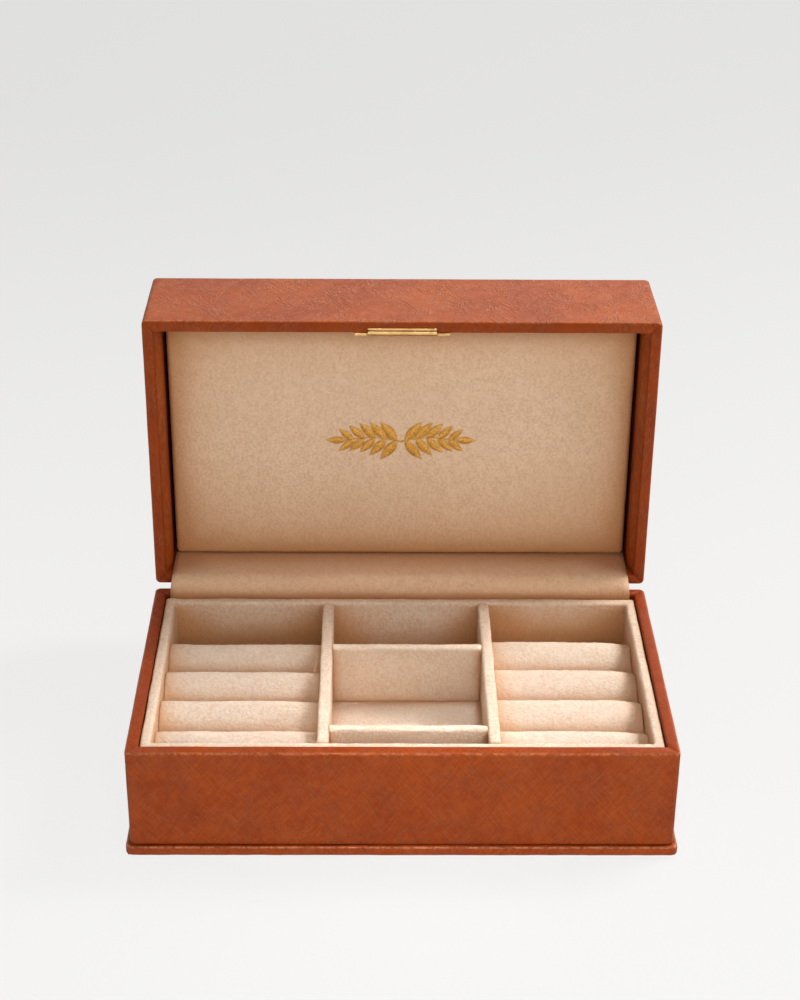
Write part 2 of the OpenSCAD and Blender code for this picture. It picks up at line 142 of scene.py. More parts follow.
class Graph:
    """A material's node tree, with short calls for the nodes that the finishes share."""

    def __init__(self, name: str) -> None:
        """Starts an empty material with its output.

        Args:
            name: the material's name.
        """
        self.material = bpy.data.materials.new(name)
        self.material.use_nodes = True
        self.tree = self.material.node_tree
        self.tree.nodes.clear()
        self.out = self.tree.nodes.new("ShaderNodeOutputMaterial")
        self.coords = self.tree.nodes.new("ShaderNodeTexCoord")

    def node(self, kind: str, **settings: object) -> bpy.types.Node:
        """Adds a node and sets its properties.

        Args:
            kind: the node's type.
            settings: the node's properties by name.

        Returns:
            The new node.
        """
        made = self.tree.nodes.new(kind)
        for key, value in settings.items():
            setattr(made, key, value)
        return made

    def feed(self, socket: Socket, value: object) -> None:
        """Links a socket to another, or sets its value.

        Args:
            socket: the input socket.
            value: an output socket, a number or a tuple.
        """
        if isinstance(value, Socket):
            self.tree.links.new(value, socket)
        else:
            socket.default_value = value

    def maths(self, operation: str, a: object, b: object = 0.0, clamp: bool = False) -> Socket:
        """A maths node.

        Args:
            operation: the operation's name.
            a: the first value.
            b: the second value.
            clamp: whether the result is held from 0 to 1.

        Returns:
            The result's socket.
        """
        made = self.node("ShaderNodeMath", operation=operation, use_clamp=clamp)
        self.feed(made.inputs[0], a)
        self.feed(made.inputs[1], b)
        return made.outputs[0]

    def turned(self, rotation: Sequence[float], scale: Sequence[float],
               source: Socket | None = None) -> Socket:
        """Turns coordinates, and then scales them.

        Args:
            rotation: the turn in degrees about each axis.
            scale: cells per metre along each axis.
            source: coordinates, or none for the object's own.

        Returns:
            The new coordinates' socket.
        """
        made = self.node("ShaderNodeMapping", vector_type="TEXTURE")
        self.feed(made.inputs["Vector"], source or self.coords.outputs["Object"])
        made.inputs["Rotation"].default_value = [math.radians(a) for a in rotation]
        made.inputs["Scale"].default_value = [1.0 / s for s in scale]
        return made.outputs[0]

    def spread(self) -> Socket:
        """Lays flat coordinates along every wall, as if one skin were wrapped round the case.

        Returns:
            The flat coordinates' socket.
        """
        x, y, z = self.axes("Object")
        made = self.node("ShaderNodeMix", data_type="VECTOR")
        sideways = self.maths("ABSOLUTE", self.axes("Normal")[0])
        self.feed(made.inputs["Factor"], self.step(sideways, 0.55, 0.85))
        walls = ((x, self.maths("ADD", y, z), 0.0), (y, z, 0.37))
        for place, wall in zip(made.inputs[4:6], walls):
            spot = self.node("ShaderNodeCombineXYZ")
            for socket, value in zip(spot.inputs, wall):
                self.feed(socket, value)
            self.feed(place, spot.outputs[0])
        return made.outputs[1]

    def axes(self, kind: str) -> Sequence[Socket]:
        """The x, y and z of one kind of coordinates.

        Args:
            kind: Object for places, Normal for directions.

        Returns:
            The three sockets.
        """
        parts = self.node("ShaderNodeSeparateXYZ")
        self.feed(parts.inputs[0], self.coords.outputs[kind])
        return parts.outputs

    def hollow(self, reach: float) -> Socket:
        """How shut in a place is, from 0 in the open to 1 deep in a corner.

        Args:
            reach: how far off, in metres, a surface still counts.

        Returns:
            The share's socket.
        """
        made = self.node("ShaderNodeAmbientOcclusion", samples=6)
        made.inputs["Distance"].default_value = reach
        return self.maths("SUBTRACT", 1.0, made.outputs["AO"])

    def noise(self, scale: float, detail: float = 2.0, rough: float = 0.5,
              vector: Socket | None = None) -> Socket:
        """Noise from 0 to 1.

        Args:
            scale: cells per metre.
            detail: the number of octaves.
            rough: the share of the finer octaves.
            vector: coordinates, or none for the object's own.

        Returns:
            The noise's socket.
        """
        made = self.node("ShaderNodeTexNoise")
        self.feed(made.inputs["Vector"], vector or self.coords.outputs["Object"])
        made.inputs["Scale"].default_value = scale
        made.inputs["Detail"].default_value = detail
        made.inputs["Roughness"].default_value = rough
        return made.outputs["Fac"]

    def cells(self, scale: float, feature: str = "F1", vector: Socket | None = None) -> Socket:
        """Distances in a cell pattern.

        Args:
            scale: cells per metre.
            feature: which distance is given.
            vector: coordinates, or none for the object's own.

        Returns:
            The distance's socket.
        """
        made = self.node("ShaderNodeTexVoronoi", feature=feature)
        self.feed(made.inputs["Vector"], vector or self.coords.outputs["Object"])
        made.inputs["Scale"].default_value = scale
        return made.outputs["Distance"]

    def step(self, value: Socket, low: float, high: float, to_low: float = 0.0,
             to_high: float = 1.0) -> Socket:
        """Maps a value smoothly from one range to another, held at its ends.

        Args:
            value: the value's socket.
            low: where the change starts.
            high: where the change ends.
            to_low: the result up to the start.
            to_high: the result from the end on.

        Returns:
            The result's socket.
        """
        made = self.node("ShaderNodeMapRange", interpolation_type="SMOOTHSTEP")
        self.feed(made.inputs["Value"], value)
        for name, number in (("From Min", low), ("From Max", high), ("To Min", to_low), ("To Max", to_high)):
            made.inputs[name].default_value = number
        return made.outputs[0]

    def mix(self, share: object, a: object, b: object) -> Socket:
        """Mixes two colours.

        Args:
            share: how much of the second colour, from 0 to 1.
            a: the first colour.
            b: the second colour.

        Returns:
            The mixed colour's socket.
        """
        made = self.node("ShaderNodeMix", data_type="RGBA")
        self.feed(made.inputs["Factor"], share)
        for socket, value in ((made.inputs[6], a), (made.inputs[7], b)):
            self.feed(socket, (*value, 1.0) if isinstance(value, tuple) else value)
        return made.outputs[2]

    def bump(self, height: Socket, distance: float, strength: float = 1.0,
             under: Socket | None = None) -> Socket:
        """A bump of a height from 0 to 1.

        Args:
            height: the height's socket.
            distance: how tall a height of 1 is, in metres.
            strength: the bump's share.
            under: another bump that this one lies on.

        Returns:
            The bumped normal's socket.
        """
        made = self.node("ShaderNodeBump")
        made.inputs["Distance"].default_value = distance
        made.inputs["Strength"].default_value = strength
        self.feed(made.inputs["Height"], height)
        if under is not None:
            self.feed(made.inputs["Normal"], under)
        return made.outputs[0]

    def attribute(self, name: str) -> Socket:
        """A number that the mesh stores at its points."""
        return self.node("ShaderNodeAttribute", attribute_name=name).outputs["Fac"]

    def finish(self, constants: dict[str, object], **linked: Socket) -> Material:
        """Adds the surface shader and ends the material.

        Args:
            constants: the shader's fixed values by socket name.
            linked: the shader's linked values, named with _ for a space.

        Returns:
            The finished material.
        """
        shader = self.node("ShaderNodeBsdfPrincipled")
        for name, value in constants.items():
            shader.inputs[name].default_value = value
        for name, socket in linked.items():
            self.feed(shader.inputs[name.replace("_", " ")], socket)
        self.tree.links.new(shader.outputs[0], self.out.inputs["Surface"])
        return self.material


# ---------------------------------------------------------------- finishes


@dataclass(frozen=True)
class CalfLeather:
    """Waxed cognac calf: soft mottling, a fine pebble, crossing creases and pale worn edges; painted shade darkens
    creases, crevices and the flat of the rims, and the pale edges are partly painted highlight.
    """

    name: str
    lean: float
    crease_length: float
    crease_width: float
    relief: float
    deep: Colour = (0.222, 0.0245, 0.0026)
    warm: Colour = (0.43, 0.082, 0.0105)
    worn: Colour = (0.72, 0.30, 0.15)
    shut_in: Colour = (0.030, 0.004, 0.0008)
    pebble: float = 1350.0

    def strokes(self, g: Graph, skin: Socket, angle: float, length: float, width: float) -> Socket:
        """Noise drawn out into strokes at one angle on every wall.

        Args:
            g: the material's graph.
            skin: the flat coordinates.
            angle: the strokes' angle in degrees.
            length: their length in millimetres.
            width: their width in millimetres.

        Returns:
            The noise's socket.
        """
        return g.noise(1.0, 1.5, 0.5, g.turned((0, 0, angle), (1000.0 / length, 1000.0 / width, 20.0), skin))

    def creases(self, g: Graph, skin: Socket, angle: float, patch: float) -> tuple[Socket, Socket]:
        """Thin creases in patches, where long strokes of noise cross their middle value.

        Args:
            g: the material's graph.
            skin: the flat coordinates.
            angle: the creases' angle in degrees.
            patch: a turn that gives each direction its own patches.

        Returns:
            The creases and their borders, each from 0 to 1: the creases are darkened as painted shade, the borders
            lightened as rubbing and partly as painted highlight.
        """
        strokes = self.strokes(g, skin, angle, self.crease_length, self.crease_width)
        off = g.maths("ABSOLUTE", g.maths("SUBTRACT", strokes, 0.5))
        patches = g.step(g.noise(70.0, 2.0, 0.5, g.turned((0, 0, patch), (1.0, 1.0, 1.0), skin)), 0.41, 0.60)
        return tuple(g.maths("MULTIPLY", g.step(off, 0.0, reach, 1.0, 0.0), patches)
                     for reach in (0.030, 0.085))

    def material(self) -> Material:
        """The leather's material.

        Returns:
            The finished material.
        """
        g = Graph(self.name)
        skin = g.spread()
        cloud = g.noise(30.0, 4.0, 0.6, skin)
        mottle = g.noise(260.0, 4.0, 0.65)
        weave = g.maths("MULTIPLY", g.maths("ADD", self.strokes(g, skin, self.lean, 8, 1.0),
                                            self.strokes(g, skin, -self.lean, 8, 0.9)), 0.5)
        rising, falling = self.creases(g, skin, self.lean, 20), self.creases(g, skin, -self.lean, 75)
        crease = g.maths("MAXIMUM", rising[0], falling[0])
        lip = g.maths("MAXIMUM", rising[1], falling[1])
        tone = g.mix(g.step(cloud, 0.15, 0.85, 0.2, 0.9), self.deep, self.warm)
        tone = g.mix(g.step(mottle, 0.38, 0.7, 0.0, 0.4), tone, self.warm)
        tone = g.mix(g.step(weave, 0.42, 0.56, 0.42 - 0.24 * self.relief, 0.0), tone, self.deep)
        # crease borders: pale rubbing, partly a painted highlight along the crease edges
        tone = g.mix(g.maths("MULTIPLY", lip, 0.05 + 0.19 * self.relief), tone, self.worn)
        # creases: painted shade in the crease grooves
        tone = g.mix(g.maths("MULTIPLY", crease, 0.22 + 0.28 * self.relief), tone, self.deep)
        # edge tone stored on the mesh: above 0 pale rubbing, partly a painted highlight on rounded edges; below 0
        # painted shade
        wear = g.attribute("edge_wear_and_shade")
        rub = g.maths("MULTIPLY", wear, g.step(g.noise(520.0, 3.0, 0.7), 0.38, 0.62, 0.08, 1.0))
        tone = g.mix(g.maths("MULTIPLY", rub, 0.5, clamp=True), tone, self.worn)
        # painted shade where the edge tone is below 0, such as the flat of the rims
        tone = g.mix(g.maths("MULTIPLY", wear, -0.9, clamp=True), tone, self.deep)
        # painted shade: darkens the leather in crevices, such as the groove between the wall and the plinth
        tone = g.mix(g.step(g.hollow(0.0028), 0.25, 0.85, 0.0, 0.9), tone, self.shut_in)
        grain = g.cells(self.pebble, "DISTANCE_TO_EDGE")
        pebble = g.bump(g.step(grain, 0.0, 0.30), 0.00008, 0.5)
        raised = g.maths("SUBTRACT", g.maths("MULTIPLY", lip, 0.5), crease)
        relief = g.maths("ADD", g.maths("MULTIPLY", weave, 0.6 - 0.2 * self.relief), raised)
        folds = g.bump(relief, 0.00022 + 0.00030 * self.relief, 0.75, pebble)
        swell = g.bump(g.noise(90.0, 3.0), 0.0012, 0.25, folds)
        shine = g.step(mottle, 0.3, 0.7, 0.50, 0.38)
        return g.finish({"Specular IOR Level": 0.12}, Base_Color=tone, Roughness=shine, Normal=swell)


@dataclass(frozen=True)
class Suede:
    """Short-napped microsuede: brushed strokes, painted shade where it is shut in, and fuzz."""

    name: str
    shade: Colour
    light: Colour
    deep: Colour
    reach: float
    sheen: float = 0.25
    nap: float = 1.5
    lean: float = 35.0
    fine: float = 1.0
    tufting: float = 0.9

    @property
    def shade_of_nap(self) -> Colour:
        """The colour between two tufts, part of the way from the shaded colour to the colour of the painted shade.
        """
        return tuple(0.72 * a + 0.28 * b for a, b in zip(self.shade, self.deep))

    def material(self) -> Material:
        """The suede's material.

        Returns:
            The finished material.
        """
        g = Graph(self.name)
        skin = g.spread()
        cells = (520 * self.fine, 1500 * self.fine, 60.0)
        strokes = g.noise(1.0, 3.0, 0.62, g.turned((0, 0, self.lean), cells, skin))
        fuzz = g.noise(2900.0, 3.0, 0.75)
        tufts = g.noise(800.0, 4.0, 0.7)
        brushed = g.noise(170.0 * self.fine, 3.0, 0.6)
        cloud = g.noise(26.0, 2.0, 0.5)
        tone = g.mix(g.step(strokes, 0.34, 0.66, 0.15, 0.85), self.shade, self.light)
        tone = g.mix(g.step(tufts, 0.42, 0.56, self.tufting, 0.0), tone, self.shade_of_nap)
        tone = g.mix(g.step(brushed, 0.42, 0.64, 0.0, 0.35), tone, self.light)
        tone = g.mix(g.step(cloud, 0.38, 0.62, 0.25, 0.0), tone, self.shade)
        tone = g.mix(g.step(fuzz, 0.54, 0.74, 0.0, 0.25), tone, self.shade)
        # painted shade: the suede darkens towards its deep colour where it is shut in
        tone = g.mix(g.step(g.hollow(self.reach), 0.03, 0.5, 0.0, 1.0), tone, self.deep)
        nap = g.bump(strokes, 0.00018 * self.nap, 0.5)
        tufted = g.bump(tufts, 0.0007 * self.nap, 0.7, nap)
        pile = g.bump(fuzz, 0.00016 * self.nap, 0.55, tufted)
        soft = g.bump(brushed, 0.0008, 0.25, pile)
        return g.finish({"Roughness": 0.94, "Specular IOR Level": 0.12, "Sheen Weight": self.sheen,
                         "Sheen Roughness": 0.42, "Sheen Tint": (1.0, 0.93, 0.84, 1.0)},
                        Base_Color=tone, Normal=soft)


@dataclass(frozen=True)
class WoolFelt:
    """Dark pressed felt with loose fibres."""

    ground: Colour = (0.030, 0.019, 0.014)
    fibre: Colour = (0.085, 0.058, 0.043)

    def material(self) -> Material:
        """The felt's material.

        Returns:
            The finished material.
        """
        g = Graph("dark_felt")
        fibres = g.noise(1.0, 4.0, 0.7, g.turned((15, 0, 35), (1400.0, 260.0, 1400.0)))
        tufts = g.noise(700.0, 3.0, 0.7)
        tone = g.mix(g.step(fibres, 0.45, 0.7), self.ground, self.fibre)
        tone = g.mix(g.step(tufts, 0.5, 0.75, 0.0, 0.4), tone, self.ground)
        constants = {"Roughness": 1.0, "Specular IOR Level": 0.05, "Sheen Weight": 0.2,
                     "Sheen Roughness": 0.6}
        return g.finish(constants, Base_Color=tone, Normal=g.bump(fibres, 0.0003, 0.6))


@dataclass(frozen=True)
class Brass:
    """Lacquered brass with a fine brushed grain, dulled in places by handling."""

    name: str = "lacquered_brass"
    bright: Colour = (0.95, 0.64, 0.28)
    dull: Colour = (0.70, 0.41, 0.14)
    grime: Colour = (0.10, 0.045, 0.012)
    roughness: float = 0.24

    def material(self) -> Material:
        """The brass's material.

        Returns:
            The finished material.
        """
        g = Graph(self.name)
        brushed = g.noise(1.0, 2.0, 0.6, g.turned((0, 0, 0), (60.0, 2600.0, 2600.0)))
        touched = g.noise(160.0, 3.0, 0.6)
        tone = g.mix(g.step(touched, 0.4, 0.72, 0.0, 0.6), self.bright, self.dull)
        tone = g.mix(g.step(g.hollow(0.0012), 0.3, 0.85, 0.0, 0.92), tone, self.grime)
        shine = g.maths("ADD", g.step(brushed, 0.3, 0.7, self.roughness - 0.06, self.roughness + 0.08),
                        g.step(touched, 0.45, 0.75, 0.0, 0.14))
        return g.finish({"Metallic": 1.0}, Base_Color=tone, Roughness=shine,
                        Normal=g.bump(brushed, 0.00003, 0.5))


@dataclass(frozen=True)
class GiltFoil:
    """Gold foil pressed into suede: broken up where the nap shows through."""

    bright: Colour = (0.92, 0.53, 0.12)
    deep: Colour = (0.62, 0.29, 0.045)

    def material(self) -> Material:
        """The foil's material.

        Returns:
            The finished material.
        """
        g = Graph("gilt_foil")
        flecks = g.noise(1.0, 4.0, 0.7, g.turned((0, 34, 28), (1500.0, 420.0, 1200.0)))
        patches = g.noise(420.0, 3.0, 0.65)
        tone = g.mix(g.step(flecks, 0.36, 0.62), self.deep, self.bright)
        tone = g.mix(g.step(patches, 0.48, 0.72, 0.0, 0.55), tone, self.deep)
        shine = g.step(flecks, 0.3, 0.7, 0.62, 0.36)
        return g.finish({"Metallic": 0.35, "Specular IOR Level": 0.4}, Base_Color=tone, Roughness=shine,
                        Normal=g.bump(flecks, 0.0003, 0.8))


@dataclass(frozen=True)
class RawBoard:
    """Raw fibreboard: pale fibres, flecks and a dusty matt face."""

    pale: Colour = (0.50, 0.36, 0.22)
    dark: Colour = (0.33, 0.22, 0.125)

    def material(self) -> Material:
        """The board's material.

        Returns:
            The finished material.
        """
        g = Graph("raw_board")
        fibres = g.noise(1.0, 4.0, 0.65, g.turned((0, 0, 12), (160.0, 900.0, 900.0)))
        flecks = g.cells(520.0)
        tone = g.mix(g.step(fibres, 0.35, 0.68), self.pale, self.dark)
        tone = g.mix(g.step(flecks, 0.0, 0.22, 0.35, 0.0), tone, self.dark)
        return g.finish({"Roughness": 0.86, "Specular IOR Level": 0.25}, Base_Color=tone,
                        Normal=g.bump(fibres, 0.0002, 0.5))


@dataclass(frozen=True)
class NickelPlate:
    """Nickel plate on a magnet, with a faint ground grain."""

    plate: Colour = (0.62, 0.61, 0.58)
    shadow: Colour = (0.45, 0.44, 0.42)

    def material(self) -> Material:
        """The plate's material.

        Returns:
            The finished material.
        """
        g = Graph("nickel_plate")
        ground = g.noise(1.0, 2.0, 0.6, g.turned((0, 0, 0), (80.0, 2200.0, 2200.0)))
        tone = g.mix(g.step(ground, 0.3, 0.7), self.plate, self.shadow)
        return g.finish({"Metallic": 1.0}, Base_Color=tone, Roughness=g.step(ground, 0.3, 0.7, 0.22, 0.38),
                        Normal=g.bump(ground, 0.00003, 0.4))


@dataclass(frozen=True)
class StudioSheet:
    """The pale, faintly toothed sheet that the case stands on; it glows by itself, painted light that washes out
    the shadows on it.
    """

    tone: Colour = (0.07, 0.0695, 0.068)
    near_glow: float = 0.85
    far_glow: float = 0.67

    def material(self) -> Material:
        """The sheet's material, with a painted glow that fades towards the back.

        Returns:
            The finished material.
        """
        g = Graph("studio_sheet")
        tooth = g.noise(900.0, 2.0, 0.6)
        # painted light: the sheet glows, more at the front than at the back
        glow = g.step(g.axes("Object")[1], -0.45, 0.95, self.near_glow, self.far_glow)
        shade = g.mix(g.step(tooth, 0.3, 0.7, 0.0, 0.1), self.tone, (0.06, 0.06, 0.06))
        constants = {"Roughness": 0.9, "Specular IOR Level": 0.1, "Emission Color": (1.0, 0.997, 0.99, 1.0)}
        return g.finish(constants, Base_Color=shade, Emission_Strength=glow)


@dataclass
class Wardrobe:
    """Every finish of the case, made once. A finish with a slot's name is the one of that slot."""

    leather: Material = field(default_factory=CalfLeather(
        "base_leather", lean=54.0, crease_length=7.0, crease_width=1.9, relief=0.25).material)
    lid_leather: Material = field(default_factory=CalfLeather(
        "lid_leather", lean=61.0, crease_length=13.0, crease_width=2.9, relief=1.0,
        warm=(0.45, 0.094, 0.0095)).material)
    # each suede's third colour is its painted shade, mixed in where the suede is shut in within its reach
    tray_suede: Material = field(default_factory=Suede(
        "tray_suede", (0.785, 0.60, 0.455), (0.885, 0.765, 0.65), (0.62, 0.33, 0.155), reach=0.022).material)
    # a brighter copy of the tray suede with little painted shade: painted light on the tray floor and the cross
    # dividers
    pocket_suede: Material = field(default_factory=Suede(
        "pocket_suede", (0.82, 0.66, 0.51), (0.91, 0.81, 0.70), (0.72, 0.46, 0.28), reach=0.005).material)
    roll_suede: Material = field(default_factory=Suede(
        "roll_suede", (0.76, 0.60, 0.47), (0.86, 0.765, 0.66), (0.68, 0.43, 0.26), reach=0.010,
        lean=-38.0).material)
    # the pad's long reach paints shade over the lower part of the lid's panel, near the lining and the tray
    pad_suede: Material = field(default_factory=Suede(
        "pad_suede", (0.77, 0.55, 0.38), (0.95, 0.75, 0.56), (0.55, 0.27, 0.11), reach=0.05, nap=0.9,
        fine=1.7, tufting=0.62).material)
    lining_suede: Material = field(default_factory=Suede(
        "lining_suede", (0.75, 0.50, 0.325), (0.88, 0.645, 0.45), (0.55, 0.26, 0.115), reach=0.02, nap=0.9,
        fine=1.6, tufting=0.6).material)
    felt: Material = field(default_factory=WoolFelt().material)
    brass: Material = field(default_factory=Brass().material)
    gilt: Material = field(default_factory=GiltFoil().material)
    board: Material = field(default_factory=RawBoard().material)
    magnet: Material = field(default_factory=NickelPlate().material)

    def dress_frame(self) -> None:
        """Gives every CAD node the finish of its slot."""
        for part in frame["record"]["subparts"]:
            finish = getattr(self, part["material_slot"])
            data = frame["nodes"][part["node"]].data
            data.materials.clear()
            data.materials.append(finish)


# ---------------------------------------------------------------- mesh tools

# the edge and the grid of a cutting solid, and the unevenness of stretched leather, in millimetres
SHARP, BIG_CELL = 0.05, 40.0
LEATHER_SWELL, LEATHER_CELL = 0.07, 14.0


@dataclass(frozen=True)
class Ring:
    """One closed loop round a box.

    It has how far in it is, how high, its corner radius, its edge tone (above 0 the pale rubbed colour, partly a
    painted highlight; below 0 painted shade), how deep its corners are folded, and how much further in it is at
    the two ends.
    """

    inset: float
    height: float
    radius: float = 0.05
    wear: float = 0.0
    crease: float = 0.0
    narrow: float = 0.0


def arc(inset: float, height: float, radius: float, start: float, end: float,
        steps: int) -> list[tuple[float, float]]:
    """Points on an arc in the plane of inset and height.

    Args:
        inset: the arc centre's inset.
        height: the arc centre's height.
        radius: the arc's radius.
        start: first angle in degrees, 0 pointing inwards and 90 pointing up.
        end: last angle in degrees.
        steps: the number of stretches.

    Returns:
        Pairs of inset and height.
    """
    angles = [math.radians(start + (end - start) * i / steps) for i in range(steps + 1)]
    return [(inset + radius * math.cos(a), height + radius * math.sin(a)) for a in angles]


def new_piece(name: str, points: Iterable[Vector], faces: Iterable[Face],
              wear: Sequence[float] | None = None, place: Matrix | None = None) -> Piece:
    """Makes a smooth-shaded object from points in millimetres.

    Args:
        name: the piece's name.
        points: its points in millimetres.
        faces: its faces as point numbers.
        wear: how worn each point is, from 0 to 1; below 0, how much painted shade darkens it.
        place: a turn in millimetres, applied to the points.

    Returns:
        The new object, in metres.
    """
    spots = [(place @ p if place else p) * MM for p in points]
    mesh = bpy.data.meshes.new(name)
    mesh.from_pydata(spots, [], faces)
    mesh.validate()
    if wear is not None:
        mesh.attributes.new("edge_wear_and_shade", "FLOAT", "POINT").data.foreach_set("value", list(wear))
    build = bmesh.new()
    build.from_mesh(mesh)
    bmesh.ops.recalc_face_normals(build, faces=build.faces)
    build.to_mesh(mesh)
    build.free()
    mesh.polygons.foreach_set("use_smooth", [True] * len(mesh.polygons))
    made = bpy.data.objects.new(name, mesh)
    bpy.context.scene.collection.objects.link(made)
    return made


def tube_faces(around: int, rows: int, capped: bool = True) -> list[Face]:
    """Faces of a tube whose rows of points follow each other.

    Args:
        around: the number of points in a row.
        rows: the number of rows.
        capped: true closes the two ends with a face each, false joins the last row to the first.

    Returns:
        The faces as point numbers.
    """
    faces: list[Face] = []
    for k in range(rows - 1 if capped else rows):
        a, b = k * around, (k + 1) % rows * around
        faces += [(a + i, a + (i + 1) % around, b + (i + 1) % around, b + i) for i in range(around)]
    if capped:
        faces += [tuple(range(around)), tuple(range((rows - 1) * around, rows * around))]
    return faces


def sheet_faces(across: int, rows: int) -> list[Face]:
    """Faces of an open sheet whose rows of points follow each other.

    Args:
        across: the number of points in a row.
        rows: the number of rows.

    Returns:
        The faces as point numbers.
    """
    starts = [r * across + c for r in range(rows - 1) for c in range(across - 1)]
    return [(a, a + 1, a + across + 1, a + across) for a in starts]


def settle(piece: Piece) -> None:
    """Applies a piece's modifiers to its mesh.

    Args:
        piece: the piece.
    """
    bpy.context.view_layer.update()
    shaped = bpy.data.meshes.new_from_object(piece.evaluated_get(bpy.context.evaluated_depsgraph_get()))
    piece.modifiers.clear()
    piece.data = shaped


def subdivide(piece: Piece, levels: int = 1) -> None:
    """Smooths a piece with a subdivision surface and applies it.

    Args:
        piece: the piece.
        levels: how many times each face is split.
    """
    made = piece.modifiers.new("subdivide", "SUBSURF")
    made.levels = made.render_levels = levels
    settle(piece)


def roughen(piece: Piece, amount: float, cell: float, seed: float = 0.0) -> None:
    """Moves a piece's points a little along their normals by noise.

    Args:
        piece: the piece, whose object is at the origin.
        amount: the most that a point moves, in millimetres.
        cell: the size of the noise's cells, in millimetres.
        seed: an offset that makes one piece differ from another.
    """
    mesh = piece.data
    normals = [v.normal.copy() for v in mesh.vertices]
    for vertex, normal in zip(mesh.vertices, normals):
        spot = vertex.co / (cell * MM) + Vector((seed, 1.7 * seed, -seed))
        vertex.co += normal * noise.noise(spot) * amount * MM
    mesh.update()


def carve(piece: Piece, cutters: Sequence[Piece]) -> None:
    """Cuts solids out of a piece and deletes them.

    Args:
        piece: the piece that is cut.
        cutters: the solids.
    """
    for cutter in cutters:
        cut = piece.modifiers.new("cut", "BOOLEAN")
        cut.operation = "DIFFERENCE"
        cut.solver = "EXACT"
        cut.object = cutter
    settle(piece)
    for cutter in cutters:
        bpy.data.objects.remove(cutter)


def fit_out(piece: Piece, body: Body, finish: Material,
            stands_for: Sequence[str] = ()) -> Piece:
    """Dresses a piece and ties it to its body.

    Args:
        piece: the piece.
        body: the body that it rides on.
        finish: its material.
        stands_for: the CAD nodes that it replaces.

    Returns:
        The piece.
    """
    piece.data.materials.clear()
    piece.data.materials.append(finish)
    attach(piece, body.value)
    if stands_for:
        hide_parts(*stands_for)
    log.info("%s rides on %s, %d points", piece.name, body.value, len(piece.data.vertices))
    return piece


@dataclass(frozen=True)
class RingLoft:
    """Skins a stack of rings round one plan."""

    half_w: float
    half_d: float
    centre_y: float = 0.0
    corner_steps: int = 8
    long_steps: int = 56
    short_steps: int = 34

    def loop(self, ring: Ring) -> list[Vector]:
        """The points of one ring, counted the same way round for every ring.

        Args:
            ring: the ring.

        Returns:
            Its points in millimetres.
        """
        w = self.half_w - ring.inset - ring.narrow
        d = self.half_d - ring.inset
        r = max(min(ring.radius, w - 0.01, d - 0.01), 0.0)
        corners = [(w - r, d - r, 0), (r - w, d - r, 90), (r - w, r - d, 180), (w - r, r - d, 270)]
        arcs = []
        for x, y, start in corners:
            turn = [math.radians(start + 90 * i / self.corner_steps) for i in range(self.corner_steps + 1)]
            points = [Vector((x + r * math.cos(a), y + r * math.sin(a), ring.height)) for a in turn]
            for k, p in enumerate(points):
                p.z -= ring.crease * (1 - abs(2 * k / self.corner_steps - 1))
            arcs.append(points)
        loop = []
        for i, points in enumerate(arcs):
            steps = self.long_steps if i % 2 == 0 else self.short_steps
            there = arcs[(i + 1) % 4][0]
            loop += points + [points[-1].lerp(there, k / steps) for k in range(1, steps)]
        for p in loop:
            p.y += self.centre_y
        return loop

    def skin(self, name: str, rings: Sequence[Ring], capped: bool, place: Matrix | None = None) -> Piece:
        """Makes a closed piece through the rings.

        Args:
            name: the piece's name.
            rings: the rings in order.
            capped: true closes the first and last ring with a face, false joins them to each other.
            place: a turn applied to the points.

        Returns:
            The new object.
        """
        loops = [self.loop(r) for r in rings]
        points = [p for loop in loops for p in loop]
        wear = [ring.wear for ring, loop in zip(rings, loops) for _ in loop]
        return new_piece(name, points, tube_faces(len(loops[0]), len(rings), capped), wear, place)


def slab(name: str, span: Span, edge: float, steps: int = 4, cell: float = 3.0,
         place: Matrix | None = None) -> Piece:
    """A block with rounded edges and a regular grid of faces.

    Args:
        name: the piece's name.
        span: its box.
        edge: the radius of its edges.
        steps: the number of stretches in each edge's rounding.
        cell: the grid's largest cell on the flats.
        place: a turn applied to the points.

    Returns:
        The new object.
    """
    half = span.size / 2
    edge = min(edge, *(0.98 * h for h in half))

    def stops(extent: float) -> list[float]:
        """Grid lines across one side: close together over the roundings, even over the flat.

        Args:
            extent: half the side's length.

        Returns:
            The grid lines, from low to high.
        """
        flat = extent - edge
        curve = [flat + edge * math.sin(math.radians(90 * i / steps)) for i in range(steps + 1)]
        count = max(1, math.ceil(2 * flat / cell))
        middle = [-flat + 2 * flat * i / count for i in range(1, count)]
        return [-c for c in reversed(curve)] + middle + curve

    axes = [stops(h) for h in half]
    index: dict[tuple[int, int, int], int] = {}
    points: list[Vector] = []

    def spot(i: int, j: int, k: int) -> int:
        """The number of one surface point, rounded at the edges.

        Args:
            i: the grid line along x.
            j: the grid line along y.
            k: the grid line along z.

        Returns:
            The point's number.
        """
        if (i, j, k) not in index:
            raw = Vector((axes[0][i], axes[1][j], axes[2][k]))
            core = Vector(max(-(h - edge), min(h - edge, v)) for v, h in zip(raw, half))
            out = raw - core
            if out.length > 1e-6:
                # the grid lies on a cube, so its rounded part is pulled onto a ball of the edge's radius
                out = out.normalized() * edge
            index[(i, j, k)] = len(points)
            points.append(span.centre + core + out)
        return index[(i, j, k)]

    last = [len(a) - 1 for a in axes]
    faces: list[Face] = []
    for fixed in range(3):
        a, b = [n for n in range(3) if n != fixed]
        for end in (0, last[fixed]):
            for p in range(last[a]):
                for q in range(last[b]):
                    corner = []
                    for dp, dq in ((0, 0), (1, 0), (1, 1), (0, 1)):
                        at = [0, 0, 0]
                        at[fixed], at[a], at[b] = end, p + dp, q + dq
                        corner.append(spot(*at))
                    faces.append(tuple(corner))
    return new_piece(name, points, faces, place=place)


# ---------------------------------------------------------------- cloth


